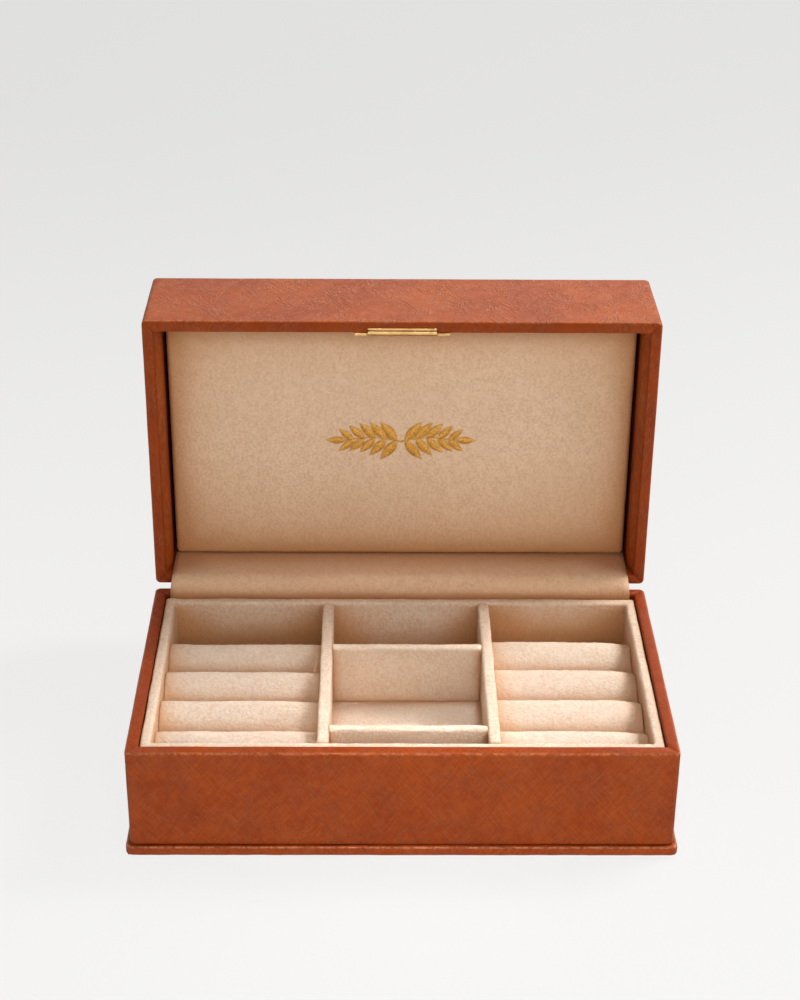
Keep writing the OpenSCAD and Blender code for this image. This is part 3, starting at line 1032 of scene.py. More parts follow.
@dataclass
class ClothRun:
    """Swells padded pieces together in one cloth simulation, and applies it."""

    frames: int = 20
    jobs: list[tuple[Piece, float]] = field(default_factory=list)

    def add(self, piece: Piece, held: Callable[[Vector], float], pressure: float, cap: float) -> None:
        """Books a piece.

        Args:
            piece: the piece.
            held: says how firmly a point, in metres, is held, from 0 to 1.
            pressure: the air pressure inside.
            cap: how far a point may move, in millimetres.
        """
        group = piece.vertex_groups.new(name="held")
        for vertex in piece.data.vertices:
            group.add([vertex.index], held(vertex.co), "REPLACE")
        cloth = piece.modifiers.new("cloth", "CLOTH")
        cloth.settings.quality = 6
        cloth.settings.mass = 0.2
        cloth.settings.tension_stiffness = cloth.settings.compression_stiffness = 18
        cloth.settings.bending_stiffness = 0.4
        cloth.settings.use_pressure = True
        cloth.settings.uniform_pressure_force = pressure
        cloth.settings.effector_weights.gravity = 0.0
        cloth.settings.vertex_group_mass = "held"
        cloth.point_cache.frame_start = 1
        cloth.point_cache.frame_end = self.frames
        self.jobs.append((piece, cap * MM))

    def run(self) -> None:
        """Steps the simulation and keeps its last shape, capped."""
        scene = bpy.context.scene
        for step in range(1, self.frames + 1):
            scene.frame_set(step)
        graph = bpy.context.evaluated_depsgraph_get()
        for piece, cap in self.jobs:
            shaped = piece.evaluated_get(graph).to_mesh()
            moved = [v.co.copy() for v in shaped.vertices]
            piece.evaluated_get(graph).to_mesh_clear()
            for vertex, there in zip(piece.data.vertices, moved):
                shift = there - vertex.co
                if shift.length > cap:
                    shift *= cap / shift.length
                vertex.co += shift
        for piece, _ in self.jobs:
            piece.modifiers.clear()
            piece.data.update()
        scene.frame_set(1)
        log.info("swelled %d padded pieces", len(self.jobs))


# ---------------------------------------------------------------- leather shells


@dataclass
class HingeRoom:
    """What the two hinges need cut out of the leather on one side of the rims."""

    reach: float = 9.8
    leaf_reach: float = 9.1
    gap: float = 0.2
    overlap: float = 1.0
    past_wall: float = 2.0
    sides: int = 32

    def cutters(self, below: bool, place: Matrix | None = None) -> list[Piece]:
        """Makes the cutting solids.

        Args:
            below: true for the base, false for the shut lid.
            place: a turn applied to the solids.

        Returns:
            The solids, one bar and one block for each hinge.
        """
        axis = hinge_line()
        radius = Span.of("left_hinge_base_leaf").high.z - axis.z + self.gap
        board = Span.of("base_back_board")
        low_z = board.high.z if below else axis.z - self.overlap
        high_z = axis.z + self.overlap if below else 2 * axis.z - board.high.z
        turn = [2 * math.pi * i / self.sides for i in range(self.sides)]
        made = []
        for node in ("left_hinge_base_leaf", "right_hinge_base_leaf"):
            x = Span.of(node).centre.x
            points = [Vector((end, axis.y + radius * math.cos(a), axis.z + radius * math.sin(a)))
                      for end in (x - self.reach, x + self.reach) for a in turn]
            made.append(new_piece("cut_bar", points, tube_faces(self.sides, 2), place=place))
            block = Span(Vector((x - self.leaf_reach, board.low.y, low_z)),
                         Vector((x + self.leaf_reach, board.high.y + self.past_wall, high_z)))
            made.append(slab("cut_block", block, SHARP, 1, BIG_CELL, place))
        return made


@dataclass
class WallLeather:
    """What the base's leather and the lid's share: a skin that turns over the rim and back inside."""

    rim_edge: float = 1.15
    inner_edge: float = 0.9
    corner: float = 2.0
    inside_corner: float = 0.3
    fold: float = 0.22
    inner_fold: float = 0.24

    def sizes(self, outer: Span, board: Span) -> tuple[float, float]:
        """The leather's thickness, and the whole wall's with leather on both faces."""
        thin = board.low.y - outer.low.y
        return thin, 2 * thin + board.size.y

    def over_rim(self, rim: float, way: int, wall: float, worn: Sequence[float],
                 inner_painted_shade: float) -> list[Ring]:
        """The rings over the rim, from the outer face to the inner.

        Args:
            rim: the rim's height.
            way: 1 for a rim that looks up, -1 for one that looks down.
            wall: the wall's whole thickness.
            worn: the edge tone round the outer edge: rubbed and partly a painted highlight above 0, painted shade
                below 0.
            inner_painted_shade: the painted shade of the inner edge, given as a negative edge tone.

        Returns:
            The rings, with their corners folded down to the mitre.
        """
        over = arc(self.rim_edge, -self.rim_edge, self.rim_edge, 180, 90, 7)
        rings = [Ring(i, rim + way * h, max(self.corner - i, 0.4), w, way * self.fold * k / 7)
                 for k, ((i, h), w) in enumerate(zip(over, worn))]
        middle = (self.rim_edge + wall - self.inner_edge) / 2
        # the flat of the rim: painted shade
        rings.append(Ring(middle, rim, 0.5, -0.5, way * 0.34))
        inner = arc(wall - self.inner_edge, -self.inner_edge, self.inner_edge, 90, 0, 6)
        rings += [Ring(i, rim + way * h, self.inside_corner, inner_painted_shade, way * self.inner_fold * (1 - k / 6))
                  for k, (i, h) in enumerate(inner)]
        return rings


@dataclass
class BaseLeather(WallLeather):
    """The base's leather: round the walls, over the rim and down the inside."""

    foot: float = 0.55

    def rings(self) -> list[Ring]:
        """The rings of the closed skin, from the foot up, over the rim, down and back.

        Returns:
            The rings in order.
        """
        outer = Span.of("base_leather")
        thin, wall = self.sizes(outer, Span.of("base_front_board"))
        low, rim = outer.low.z, outer.high.z
        rings = [Ring(i, h, self.corner) for i, h in arc(self.foot, low + self.foot, self.foot, 270, 180, 4)]
        heights = np.linspace(low + 1.4, rim - self.rim_edge - 0.5, 16)
        rings += [Ring(0.0, float(h), self.corner) for h in heights]
        # the rim's outer edge pale with rubbing, partly a painted highlight; its inner half and the inside
        # darkened as painted shade
        rings += self.over_rim(rim, 1, wall, (0.2, 0.6, 0.9, 0.8, 0.5, 0.1, -0.2, -0.4), -0.5)
        rings += [Ring(wall, float(h), self.inside_corner) for h in np.linspace(rim - 2.5, low, 6)]
        hidden = ((wall - thin, low), (wall - thin, rim - thin), (thin, rim - thin), (thin, low))
        return rings + [Ring(i, h) for i, h in hidden]

    def build(self, wardrobe: Wardrobe) -> None:
        """Makes the leather and dresses it.

        Args:
            wardrobe: the finishes.
        """
        outer = Span.of("base_leather")
        piece = RingLoft(outer.high.x, outer.high.y).skin("base_wall_leather", self.rings(), capped=False)
        roughen(piece, LEATHER_SWELL, LEATHER_CELL, 3.0)
        carve(piece, HingeRoom().cutters(below=True))
        fit_out(piece, Body.BASE, wardrobe.leather, ["base_leather"])


@dataclass
class LidLeather(WallLeather):
    """The lid's leather: over the top, round the walls, over the rim and down the inside."""

    top_edge: float = 1.9
    fullness: float = 1.7
    pocket_gap: float = 0.1
    pocket_deep: float = 2.0

    def rings(self) -> list[Ring]:
        """The rings of the shut lid's skin, from under the top board out to the middle of the top.

        Returns:
            The rings in order.
        """
        outer = Span.shut("lid_leather")
        board = Span.shut("lid_front_board")
        thin, wall = self.sizes(outer, board)
        rim, top = outer.low.z, outer.high.z
        back = wall - thin
        hidden = ((thin, top - thin), (thin, rim + thin), (back, rim + thin), (back, board.high.z))
        rings = [Ring(i, h) for i, h in hidden] + [Ring(wall, board.high.z, self.inside_corner)]
        full = [(h, min(1.0, (h - rim - 1.6) / 5.0)) for h in np.linspace(board.high.z - 4, rim + 1.6, 24)]
        rings += [Ring(wall, float(h), self.inside_corner, narrow=self.fullness * t * t * (3 - 2 * t))
                  for h, t in full]
        # the rim's outer edge pale with rubbing, partly a painted highlight; its inner half and the inside
        # darkened as painted shade
        rings += self.over_rim(rim, -1, wall, (0.4, 0.9, 0.7, 0.1, -0.3, -0.45, -0.5, -0.5), -0.4)[::-1]
        heights = np.linspace(rim + self.rim_edge + 0.5, top - self.top_edge - 0.4, 16)
        rings += [Ring(0.0, float(h), self.corner) for h in heights]
        over = arc(self.top_edge, top - self.top_edge, self.top_edge, 180, 90, 9)
        rings += [Ring(i, h, self.corner + 0.2 * i, 0.8 * math.sin(math.pi * k / 9))
                  for k, (i, h) in enumerate(over)]
        return rings + [Ring(i, top, self.corner + 1.0) for i in (4.0, 8.0, 16.0, 28.0, 42.0, 54.0)]

    def build(self, wardrobe: Wardrobe) -> None:
        """Makes the leather, with its pocket for the strike bar, and dresses it.

        Args:
            wardrobe: the finishes.
        """
        outer = Span.shut("lid_leather")
        turn = opening_turn()
        loft = RingLoft(outer.high.x, outer.high.y)
        piece = loft.skin("lid_wall_leather", self.rings(), capped=True, place=turn)
        roughen(piece, LEATHER_SWELL, LEATHER_CELL, 8.0)
        strike = Span.shut("strike_bar")
        gap = self.pocket_gap
        pocket = Span(strike.low - Vector((gap, gap, self.pocket_deep)), strike.high + Vector((gap, 0, 0)))
        cutters = HingeRoom().cutters(below=False, place=turn)
        carve(piece, cutters + [slab("cut_pocket", pocket, SHARP, 1, BIG_CELL, turn)])
        fit_out(piece, Body.LID, wardrobe.lid_leather, ["lid_leather"])


@dataclass
class Plinth:
    """The leather-covered plinth, and the felt under it."""

    edge: float = 1.25
    corner: float = 2.6

    def build(self, wardrobe: Wardrobe) -> None:
        """Makes both pieces and dresses them.

        Args:
            wardrobe: the finishes.
        """
        outer = Span.of("plinth_leather")
        board = Span.of("plinth_board")
        inset = outer.high.x - board.high.x
        rings = [Ring(inset, board.high.z, 0.2), Ring(inset, outer.low.z, 0.2)]
        rings += [Ring(i, h, self.corner) for i, h in arc(0.7, outer.low.z + 0.7, 0.7, 270, 180, 4)]
        over = arc(self.edge, outer.high.z - self.edge, self.edge, 180, 90, 8)
        # pale rubbing over the plinth's top edge, partly a painted highlight, then painted shade towards the wall
        worn = (0.0, 0.0, 0.1, 0.9, 1.4, 1.0, 0.1, -0.2, -0.4)
        rings += [Ring(i, h, self.corner, w) for (i, h), w in zip(over, worn)]
        # painted shade on the plinth's top beside the wall
        rings += [Ring(i, outer.high.z, self.corner, -0.5) for i in (2.4, 6.0)]
        loft = RingLoft(outer.high.x, outer.high.y, long_steps=150, short_steps=90)
        leather = loft.skin("plinth_wrap_leather", rings, capped=True)
        roughen(leather, 0.10, 5.0, 21.0)
        fit_out(leather, Body.BASE, wardrobe.leather, ["plinth_leather"])
        self.felt(wardrobe)

    def felt(self, wardrobe: Wardrobe) -> None:
        """Makes the felt sheet under the plinth.

        Args:
            wardrobe: the finishes.
        """
        span = Span.of("base_felt")
        low, high = span.low.z, span.high.z
        rings = [Ring(9.0, low, 1.0), Ring(0.3, low, 2.0), Ring(0.08, low + 0.1, 2.0),
                 Ring(0.0, span.centre.z, 2.0), Ring(0.08, high - 0.1, 2.0), Ring(9.0, high, 1.0)]
        piece = RingLoft(span.high.x, span.high.y).skin("underside_felt", rings, capped=True)
        fit_out(piece, Body.BASE, wardrobe.felt, ["base_felt"])


# ---------------------------------------------------------------- tray


@dataclass
class Tray:
    """The suede tray: its outer wall, its dividers and its floor."""

    edge: float = 1.35
    outer_edge: float = 0.8
    bedded: float = 0.35
    nap: tuple[float, float] = (0.16, 1.5)
    dividers: Sequence[str] = ("left_divider", "right_divider", "rear_cross_divider", "front_cross_divider")

    def wall(self, wardrobe: Wardrobe) -> None:
        """Makes the four outer walls as one covered frame with soft edges.

        Args:
            wardrobe: the finishes.
        """
        left = Span.of("tray_left_wall")
        right = Span.of("tray_right_wall")
        thick = left.size.x
        low, top = left.low.z, left.high.z
        rings = [Ring(0.0, low, 0.8), Ring(0.0, (low + top) / 2, 0.8)]
        outside = arc(self.outer_edge, top - self.outer_edge, self.outer_edge, 180, 90, 5)
        inside = arc(thick - self.edge, top - self.edge, self.edge, 90, 0, 6)
        rings += [Ring(i, h, 1.0) for i, h in outside] + [Ring(i, h, 0.9) for i, h in inside]
        rings += [Ring(thick, float(h), 0.6) for h in np.linspace(top - 4, low, 10)]
        loft = RingLoft(right.high.x, left.size.y / 2, left.centre.y, long_steps=250, short_steps=150)
        piece = loft.skin("tray_wall_cover", rings, capped=False)
        roughen(piece, 0.22, 9.0, 5.0)
        roughen(piece, *self.nap, 2.0)
        nodes = [f"tray_{side}_wall" for side in ("front", "back", "left", "right")]
        fit_out(piece, Body.BASE, wardrobe.tray_suede, nodes)

    def divider(self, node: str, seed: float, wardrobe: Wardrobe) -> None:
        """Makes one covered divider with a soft round top.

        Args:
            node: the CAD node that it stands for.
            seed: an offset that makes its surface differ.
            wardrobe: the finishes.
        """
        span = Span.of(node)
        along = 1 if span.size.y > span.size.x else 0
        low, high = span.low.copy(), span.high.copy()
        low[along] -= self.bedded
        high[along] += self.bedded
        low.z -= 0.2
        piece = slab(f"{node}_cover", Span(low, high), self.edge, 5, 0.9)
        roughen(piece, 0.20, 8.0, seed)
        roughen(piece, *self.nap, seed + 4.0)
        # the cross dividers take the brighter copy of the suede: painted light
        finish = wardrobe.tray_suede if along == 1 else wardrobe.pocket_suede
        fit_out(piece, Body.BASE, finish, [node])

    def floor(self, wardrobe: Wardrobe) -> None:
        """Makes the covered floor.

        Args:
            wardrobe: the finishes.
        """
        piece = slab("tray_floor_cover", Span.of("tray_floor"), 0.5, 2, 2.5)
        roughen(piece, 0.12, 12.0, 31.0)
        # the floor takes the brighter copy of the suede: painted light
        fit_out(piece, Body.BASE, wardrobe.pocket_suede, ["tray_floor"])

    def build(self, wardrobe: Wardrobe) -> None:
        """Makes every piece of the tray.

        Args:
            wardrobe: the finishes.
        """
        self.wall(wardrobe)
        for k, node in enumerate(self.dividers):
            self.divider(node, 11.0 + 7 * k, wardrobe)
        self.floor(wardrobe)


@dataclass
class RingRolls:
    """The eight foam rolls that hold rings, in their suede."""

    nodes: Sequence[str] = tuple(f"{side}_ring_roll_{i}" for side in ("left", "right") for i in range(1, 5))
    droops: Sequence[float] = (0.5,) * 4 + (1.8,) * 4
    held_height: float = 6.0
    pressure: float = 3.0
    most_swell: float = 0.45
    side_gap: float = 0.15
    top_gap: float = 0.35
    end_round: float = 0.6
    end_reach: float = 0.25
    end_stations: Sequence[float] = (0.0, 0.25, 0.7, 1.4, 2.4)
    middle_from: float = 4.2
    droop_from: float = 0.72
    crest_back: float = 0.28
    swell: tuple[float, float] = (0.30, 15.0)
    nap: tuple[float, float] = (0.16, 1.7)
    along_steps: int = 40
    dome_steps: int = 20
    pieces: list[Piece] = field(default_factory=list)

    def profile(self, half: float, height: float) -> list[tuple[float, float]]:
        """The outline of a roll across its length: a long front slope and a steep back.

        Args:
            half: half its width.
            height: its height.

        Returns:
            Pairs across and up, from the foot at the front, over the crest, to the foot at the back.
        """
        crest = self.crest_back * half
        dome = min(half * 1.05, height - 1.0)
        points = [(-half * 0.97, 0.0), (-half, (height - dome) * 0.33), (-half, (height - dome) * 0.67)]
        for i in range(self.dome_steps + 1):
            a = math.pi * (1 - i / self.dome_steps)
            reach, bow = (half + crest, 1.18) if math.cos(a) < 0 else (half - crest, 0.95)
            points.append((crest + reach * math.copysign(abs(math.cos(a)) ** bow, math.cos(a)),
                           height - dome + dome * math.sin(a) ** bow))
        points += [(half, (height - dome) * 0.67), (half, (height - dome) * 0.33), (half * 0.97, 0.0)]
        return points

    def roll(self, node: str, number: int, droop: float) -> Piece:
        """Makes one roll before it is swelled.

        Args:
            node: the CAD node that it stands for.
            number: its number, which makes its surface differ.
            droop: how far its right end sinks, in millimetres.

        Returns:
            The roll.
        """
        span = Span.of(node)
        half = span.size.y / 2 - self.side_gap
        height = span.size.z - self.top_gap
        length = span.size.x + 2 * self.end_reach
        outline = self.profile(half, height)
        middle = np.linspace(self.middle_from, length - self.middle_from, self.along_steps)
        xs = [*self.end_stations, *map(float, middle), *(length - s for s in reversed(self.end_stations))]
        points: list[Vector] = []
        for x in xs:
            near = min(x, length - x)
            pull = self.end_round * (1 - math.sqrt(max(0.0, 1 - (1 - min(near / self.end_round, 1.0)) ** 2)))
            sink = droop * max(0.0, (x / length - self.droop_from) / (1 - self.droop_from)) ** 2
            for across, up in outline:
                share = max(0.0, up / height)
                spot_y = across * (1 - pull / half)
                points.append(Vector((span.low.x - self.end_reach + x, span.centre.y + spot_y,
                                      span.low.z + up - (pull + sink) * share ** 2)))
        piece = new_piece(node.replace("ring_roll", "suede_roll"), points, tube_faces(len(outline), len(xs)))
        roughen(piece, *self.swell, 13.0 * number)
        return piece

    def start(self, cloth: ClothRun) -> None:
        """Makes the rolls and books them for the cloth run.

        Args:
            cloth: the run that swells them.
        """
        for k, (node, droop) in enumerate(zip(self.nodes, self.droops)):
            piece = self.roll(node, k + 1, droop)
            top = Span.of(node).low.z + self.held_height
            cloth.add(piece, lambda co, z=top: float(co.z / MM < z), self.pressure, self.most_swell)
            self.pieces.append(piece)

    def build(self, wardrobe: Wardrobe) -> None:
        """Finishes the swelled rolls.

        Args:
            wardrobe: the finishes.
        """
        for k, (node, piece) in enumerate(zip(self.nodes, self.pieces)):
            subdivide(piece)
            roughen(piece, *self.nap, 5.0 * k)
            fit_out(piece, Body.BASE, wardrobe.roll_suede, [node])


# ---------------------------------------------------------------- lid panel and hinge lining


@dataclass
class LidPad:
    """The padded suede panel in the lid."""

    edge: float = 1.7
    held_depth: float = 1.9
    pressure: float = 2.2
    most_swell: float = 0.35
    piece: Piece | None = None

    def start(self, cloth: ClothRun) -> None:
        """Makes the panel and books it for the cloth run.

        Args:
            cloth: the run that swells it.
        """
        span = Span.shut("lid_pad")
        self.piece = slab("lid_panel_pad", span, self.edge, 4, 3.2, opening_turn())
        back = Span.of("lid_pad").high.y - self.held_depth
        cloth.add(self.piece, lambda co: float(co.y / MM > back), self.pressure, self.most_swell)

    def build(self, wardrobe: Wardrobe) -> Piece:
        """Finishes the swelled panel.

        Args:
            wardrobe: the finishes.

        Returns:
            The panel.
        """
        subdivide(self.piece)
        roughen(self.piece, 0.10, 16.0, 40.0)
        roughen(self.piece, 0.10, 1.9, 44.0)
        fit_out(self.piece, Body.LID, wardrobe.pad_suede, ["lid_pad"])
        return self.piece


@dataclass
class HingeLining:
    """The suede strip that runs from behind the tray, round the hinge line, to under the lid's panel."""

    thickness: float = 0.7
    cell: float = 1.6
    across_steps: int = 90
    tuck: float = 0.011
    tuck_rise: float = 9.0

    def route(self) -> list[tuple[float, float]]:
        """The strip's middle line, as pairs along y and z, evenly spaced.

        Returns:
            Pairs of y and z in millimetres.
        """
        base = Span.of("lining_base_flap")
        lid = Span.of("lining_lid_flap")
        axis = hinge_line()
        y, z = base.centre.y, lid.centre.z
        start = math.atan2(base.high.z - axis.z, y - axis.y) % (2 * math.pi)
        end = math.atan2(z - axis.z, lid.low.y - axis.y)
        radius = z - axis.z
        turns = 24
        corner = [(axis.y + radius * math.cos(start + (end - start) * i / turns),
                   axis.z + radius * math.sin(start + (end - start) * i / turns)) for i in range(turns + 1)]
        line = [(y, base.low.z + 1.0), (y, base.high.z - 0.5)] + corner[1:-1]
        line += [(lid.low.y + 0.5, z), (lid.high.y - 0.5, z)]
        spots = [Vector((0.0, a, b)) for a, b in line]
        lengths = np.concatenate([[0.0], np.cumsum([(q - p).length for p, q in zip(spots, spots[1:])])])
        stops = np.linspace(0.0, lengths[-1], math.ceil(lengths[-1] / self.cell) * 2)
        return [tuple(float(np.interp(s, lengths, [p[axis] for p in spots])) for axis in (1, 2))
                for s in stops]

    def build(self, wardrobe: Wardrobe) -> None:
        """Makes the strip, bends it across the hinge and dresses it.

        Args:
            wardrobe: the finishes.
        """
        base = Span.of("lining_base_flap")
        lid = Span.of("lining_lid_flap")
        line = [Vector((0.0, a, b)) for a, b in self.route()]
        width = base.size.x
        xs = [base.low.x + width * i / self.across_steps for i in range(self.across_steps + 1)]
        sides: list[list[Vector]] = [[], []]
        for i, p in enumerate(line):
            ahead = line[min(i + 1, len(line) - 1)] - line[max(i - 1, 0)]
            out = Vector((0.0, -ahead.z, ahead.y)).normalized() * self.thickness / 2
            tuck = 1.0 - self.tuck * min(1.0, max(0.0, (p.z - base.high.z) / self.tuck_rise)) ** 1.5
            for x in (c * tuck for c in xs):
                ripple = 0.12 * noise.noise(Vector((x / 17, p.y / 9, p.z / 9)))
                for side, sign in zip(sides, (1, -1)):
                    side.append(Vector((x, p.y, p.z)) + out * sign + out.normalized() * ripple)
        n, rows, shift = len(xs), len(line), len(sides[0])
        front = sheet_faces(n, rows)
        faces = front + [tuple(shift + i for i in reversed(face)) for face in front]
        rim = list(range(n)) + [r * n + n - 1 for r in range(1, rows)]
        rim += [(rows - 1) * n + c for c in range(n - 2, -1, -1)] + [r * n for r in range(rows - 2, 0, -1)]
        faces += [(a, b, shift + b, shift + a) for a, b in zip(rim, rim[1:] + rim[:1])]
        piece = new_piece("hinge_lining_suede", sides[0] + sides[1], faces)
        piece.data.materials.append(wardrobe.lining_suede)
        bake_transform(piece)
        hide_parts("lining_base_flap", "hinge_lining", "lining_lid_flap")


# ---------------------------------------------------------------- brass and gilt


@dataclass
class Catch:
    """The brass strike bar on the lid's rim and the plate behind it."""

    edge: float = 0.28
    face_edge: float = 0.42
    lip: float = 0.75
    groove: float = 0.55
    groove_deep: float = 0.7
    plate_gap: float = 0.05
    cell: float = 6.0

    def bar(self, span: Span, turn: Matrix) -> Piece:
        """Makes the strike bar: a lip and a face with a groove between them.

        Args:
            span: the bar's box on the shut lid.
            turn: the turn to the open lid.

        Returns:
            The bar.
        """
        low, high = span.low, span.high
        lip = Span(low, Vector((high.x, low.y + self.lip, high.z)))
        face = Span(low + Vector((0, self.lip + self.groove, 0)), high)
        # the web joins the two under the groove, a little inside their faces so that no two faces coincide
        web = Span(low + Vector((0.2, 0.3, self.groove_deep)), high - Vector((0.2, 0.3, 0.05)))
        return self.merge("strike_bar_brass", [
            slab("strike_lip", lip, self.edge, 4, self.cell, turn),
            slab("strike_face", face, self.face_edge, 5, self.cell, turn),
            slab("strike_web", web, 0.1, 1, 20.0, turn)])

    def build(self, wardrobe: Wardrobe) -> None:
        """Makes the bar, and the plate with the bar's room cut out, and dresses them.

        Args:
            wardrobe: the finishes.
        """
        turn = opening_turn()
        span = Span.shut("strike_bar")
        bar = self.bar(span, turn)
        fit_out(bar, Body.LID, wardrobe.brass, ["strike_bar"])
        plate = slab("catch_plate_brass", Span.shut("catch_plate"), 0.3, 4, 8.0, turn)
        room = Span(span.low - Vector((self.plate_gap, 0, 3)), span.high + Vector((self.plate_gap, 2, 0.02)))
        carve(plate, [slab("cut_bar", room, 0.02, 1, 60.0, turn)])
        for polygon in plate.data.polygons:
            polygon.use_smooth = True
        fit_out(plate, Body.LID, wardrobe.brass, ["catch_plate"])

    def merge(self, name: str, parts: Sequence[Piece]) -> Piece:
        """Unites touching solids into one piece.

        Args:
            name: the piece's name.
            parts: the solids.

        Returns:
            The united piece.
        """
        whole = parts[0]
        for other in parts[1:]:
            join = whole.modifiers.new("join", "BOOLEAN")
            join.operation = "UNION"
            join.solver = "EXACT"
            join.object = other
        settle(whole)
        for other in parts[1:]:
            bpy.data.objects.remove(other)
        whole.name = name
        return whole


@dataclass
class GiltSprig:
    """A plain pressed sprig of leaves in gold foil, in the middle of the lid's panel."""

    length: float = 46.0
    arch: float = 1.6
    leaves: int = 5
    leaf_length: float = 11.5
    leaf_width: float = 4.4
    foil: float = 0.04
    lift: float = 0.06
    rise: float = 0.50

    def leaf(self, root: Vector, angle: float, size: float) -> tuple[list[Vector], list[Face]]:
        """One pointed leaf in the panel's plane, as a strip with a slightly raised middle.

        Args:
            root: where it starts, as x and z.
            angle: its direction in degrees from +X.
            size: its share of the full size.

        Returns:
            Its points and its faces.
        """
        steps = 10
        points: list[Vector] = []
        along = Vector((math.cos(math.radians(angle)), 0, math.sin(math.radians(angle))))
        side = Vector((-along.z, 0, along.x))
        for i in range(steps + 1):
            t = i / steps
            half = self.leaf_width * size / 2 * max(0.02, math.sin(math.pi * t ** 0.85))
            middle = root + along * (self.leaf_length * size * t)
            points += [middle - side * half, middle + Vector((0, -0.02, 0)), middle + side * half]
        return points, sheet_faces(3, steps + 1)

    def build(self, pad: Piece, wardrobe: Wardrobe) -> Piece:
        """Makes the sprig and lays it on the panel.

        Args:
            pad: the panel that it is pressed on.
            wardrobe: the finishes.

        Returns:
            The sprig.
        """
        span = Span.of("lid_pad")
        centre = Vector((span.centre.x, 0.0, span.low.z + self.rise * span.size.z))
        shapes: list[tuple[list[Vector], list[Face]]] = []
        for way in (-1, 1):
            for i in range(self.leaves):
                t = (i + 0.35) / self.leaves
                root = centre + Vector((way * self.length / 2 * t, 0, self.arch * math.sin(math.pi * t)))
                size = 1.0 - 0.35 * t
                for up in (-1, 1):
                    angle = up * (52 - 14 * t)
                    shapes.append(self.leaf(root, angle if way > 0 else 180 - angle, size))
            tip = centre + Vector((way * self.length / 2, 0, 0.6))
            shapes.append(self.leaf(tip, 0 if way > 0 else 180, 0.75))
            shapes.append(self.stem(centre, way))
        points: list[Vector] = []
        faces: list[Face] = []
        for shape_points, shape_faces in shapes:
            shift = len(points)
            points += shape_points
            faces += [tuple(shift + i for i in f) for f in shape_faces]
        tree = BVHTree.FromObject(pad, bpy.context.evaluated_depsgraph_get())
        front = span.low.y - 10.0
        for p in points:
            hit = tree.ray_cast(Vector((p.x, front, p.z)) * MM, Vector((0, 1, 0)))[0]
            p.y += (hit.y / MM if hit else span.low.y) - self.lift
        piece = new_piece("gilt_sprig", points, faces)
        solid = piece.modifiers.new("thickness", "SOLIDIFY")
        solid.thickness = self.foil * MM
        settle(piece)
        return fit_out(piece, Body.LID, wardrobe.gilt)

    def stem(self, centre: Vector, way: int) -> tuple[list[Vector], list[Face]]:
        """Half of the thin stem, from the middle to one tip.

        Args:
            centre: the sprig's middle.
            way: -1 to the left, 1 to the right.

        Returns:
            Its points and its faces.
        """
        steps = 14
        points: list[Vector] = []
        for i in range(steps + 1):
            t = i / steps
            rise = self.arch * math.sin(math.pi * t) + 0.6 * t
            middle = centre + Vector((way * self.length / 2 * t, 0, rise))
            half = 0.34 - 0.12 * t
            points += [middle - Vector((0, 0, half)), middle + Vector((0, 0, half))]
        return points, sheet_faces(2, steps + 1)


# ---------------------------------------------------------------- studio


@dataclass(frozen=True)
class SoftBox:
    """One area light: where it is, what it looks at, its size and its strength."""

    name: str
    place: tuple[float, float, float]
    aim: tuple[float, float, float]
    size: tuple[float, float]
    watts: float
    tint: Colour = (1.0, 1.0, 1.0)
    spread: float = 180.0

    def build(self) -> None:
        """Adds the light."""
        data = bpy.data.lights.new(self.name, "AREA")
        data.shape = "RECTANGLE"
        data.size, data.size_y = self.size
        data.energy = self.watts
        data.color = self.tint
        data.spread = math.radians(self.spread)
        lamp = bpy.data.objects.new(self.name, data)
        lamp.location = self.place
        lamp.rotation_euler = (Vector(self.aim) - Vector(self.place)).to_track_quat("-Z", "Y").to_euler()
        bpy.context.scene.collection.objects.link(lamp)


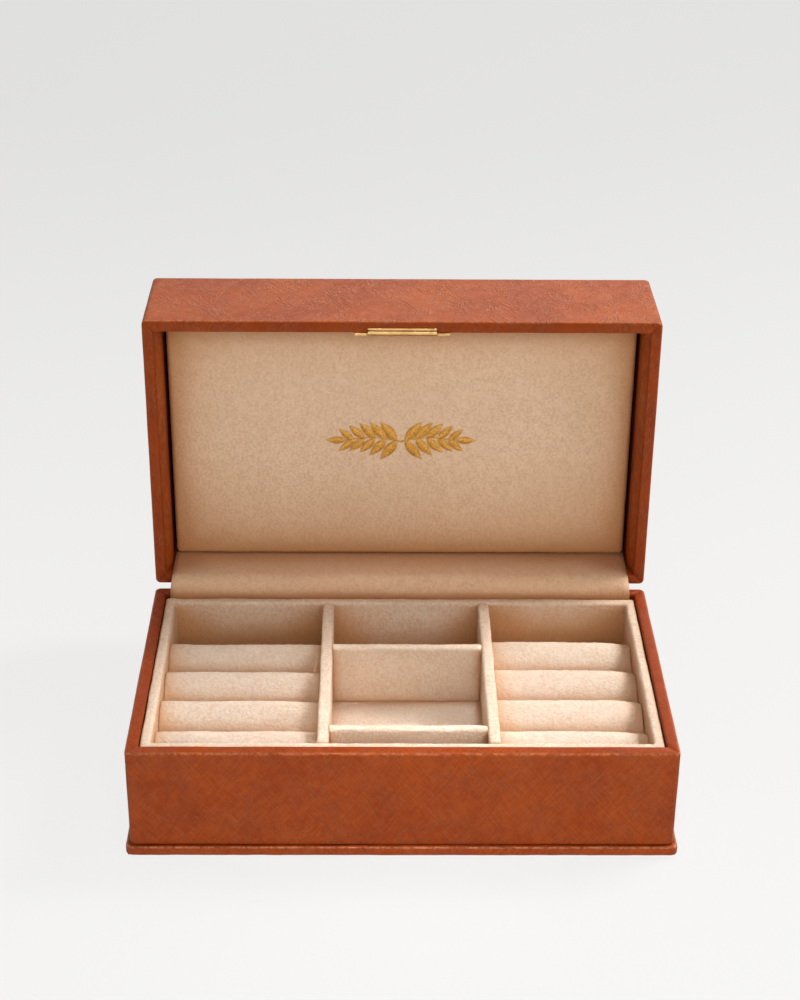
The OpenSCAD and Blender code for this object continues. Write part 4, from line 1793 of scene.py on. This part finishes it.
@dataclass
class Studio:
    """The pale floor that sweeps up behind, the soft light and the camera."""

    eye: Vector = field(default_factory=lambda: Vector((-0.00982, -0.67610, 0.48448)))
    turn: tuple[float, float, float] = (0.733, 28.099, 0.510)
    lens: float = 71.6
    room_tint: Colour = (1.0, 0.95, 0.90)
    room_light: float = 0.20
    lights: Sequence[SoftBox] = (
        SoftBox("key", (0.95, 0.45, 1.05), (0.0, -0.02, 0.05), (0.42, 0.42), 21.5, (1.0, 0.995, 0.98)),
        SoftBox("front_fill", (0.20, -1.5, 0.9), (0.0, 0.0, 0.08), (1.6, 1.0), 10.8, (1.0, 0.90, 0.77)),
        SoftBox("tray_top", (0.12, -0.36, 1.3), (0.01, -0.07, 0.03), (0.12, 0.12), 0.055, (1.0, 0.985, 0.96),
                spread=12.0),
        SoftBox("back_rim", (0.40, 1.9, 0.85), (0.0, 0.08, 0.15), (1.6, 0.5), 6.5, (1.0, 0.99, 0.98)),
        SoftBox("right_window", (1.35, -0.35, 0.72), (0.02, 0.0, 0.06), (0.5, 0.5), 3.5, (1.0, 0.99, 0.98)),
        SoftBox("left_fill", (-1.2, 0.45, 0.6), (0.0, 0.0, 0.10), (0.8, 0.8), 4.0, (0.98, 0.99, 1.0)),
    )

    def floor(self) -> None:
        """Makes the paper sweep."""
        width, near, far, rise, bend = 9.0, -30.0, 1.6, 2.6, 0.9
        line = [(near, 0.0), (far, 0.0)]
        line += [(far + bend * math.sin(math.radians(a)), bend - bend * math.cos(math.radians(a)))
                 for a in range(6, 91, 6)]
        line.append((far + bend, rise))
        points = [Vector((x, y, z)) / MM for y, z in line for x in (-width, width)]
        sweep = new_piece("paper_sweep", points, sheet_faces(2, len(line)))
        sweep.data.materials.append(StudioSheet().material())

    def camera(self) -> None:
        """Adds the camera."""
        yaw, pitch, roll = (math.radians(a) for a in self.turn)
        ahead = Vector((math.sin(yaw) * math.cos(pitch), math.cos(yaw) * math.cos(pitch), -math.sin(pitch)))
        level = Vector((math.cos(yaw), -math.sin(yaw), 0.0))
        over = level.cross(ahead)
        right = level * math.cos(roll) + over * math.sin(roll)
        up = over * math.cos(roll) - level * math.sin(roll)
        data = bpy.data.cameras.new("camera")
        data.lens = self.lens
        data.clip_start = 0.01
        view = bpy.data.objects.new("camera", data)
        view.matrix_world = Matrix.Translation(self.eye) @ Matrix((right, up, -ahead)).transposed().to_4x4()
        bpy.context.scene.collection.objects.link(view)
        bpy.context.scene.camera = view

    def build(self) -> None:
        """Makes the whole studio."""
        self.camera()
        self.floor()
        for light in self.lights:
            light.build()
        world = bpy.data.worlds.new("soft_room")
        world.use_nodes = True
        room = world.node_tree.nodes["Background"]
        room.inputs["Color"].default_value = (*self.room_tint, 1.0)
        room.inputs["Strength"].default_value = self.room_light
        bpy.context.scene.world = world
        bpy.context.scene.view_settings.view_transform = "Standard"


def main() -> None:
    """Builds the studio and every piece of the case."""
    logging.basicConfig(level=logging.INFO, format="%(name)s: %(message)s")
    Studio().build()
    wardrobe = Wardrobe()
    wardrobe.dress_frame()
    cloth = ClothRun()
    rolls, pad = RingRolls(), LidPad()
    rolls.start(cloth)
    pad.start(cloth)
    cloth.run()
    rolls.build(wardrobe)
    panel = pad.build(wardrobe)
    Plinth().build(wardrobe)
    BaseLeather().build(wardrobe)
    LidLeather().build(wardrobe)
    Tray().build(wardrobe)
    HingeLining().build(wardrobe)
    Catch().build(wardrobe)
    GiltSprig().build(panel, wardrobe)


if __name__ == "__main__":
    main()
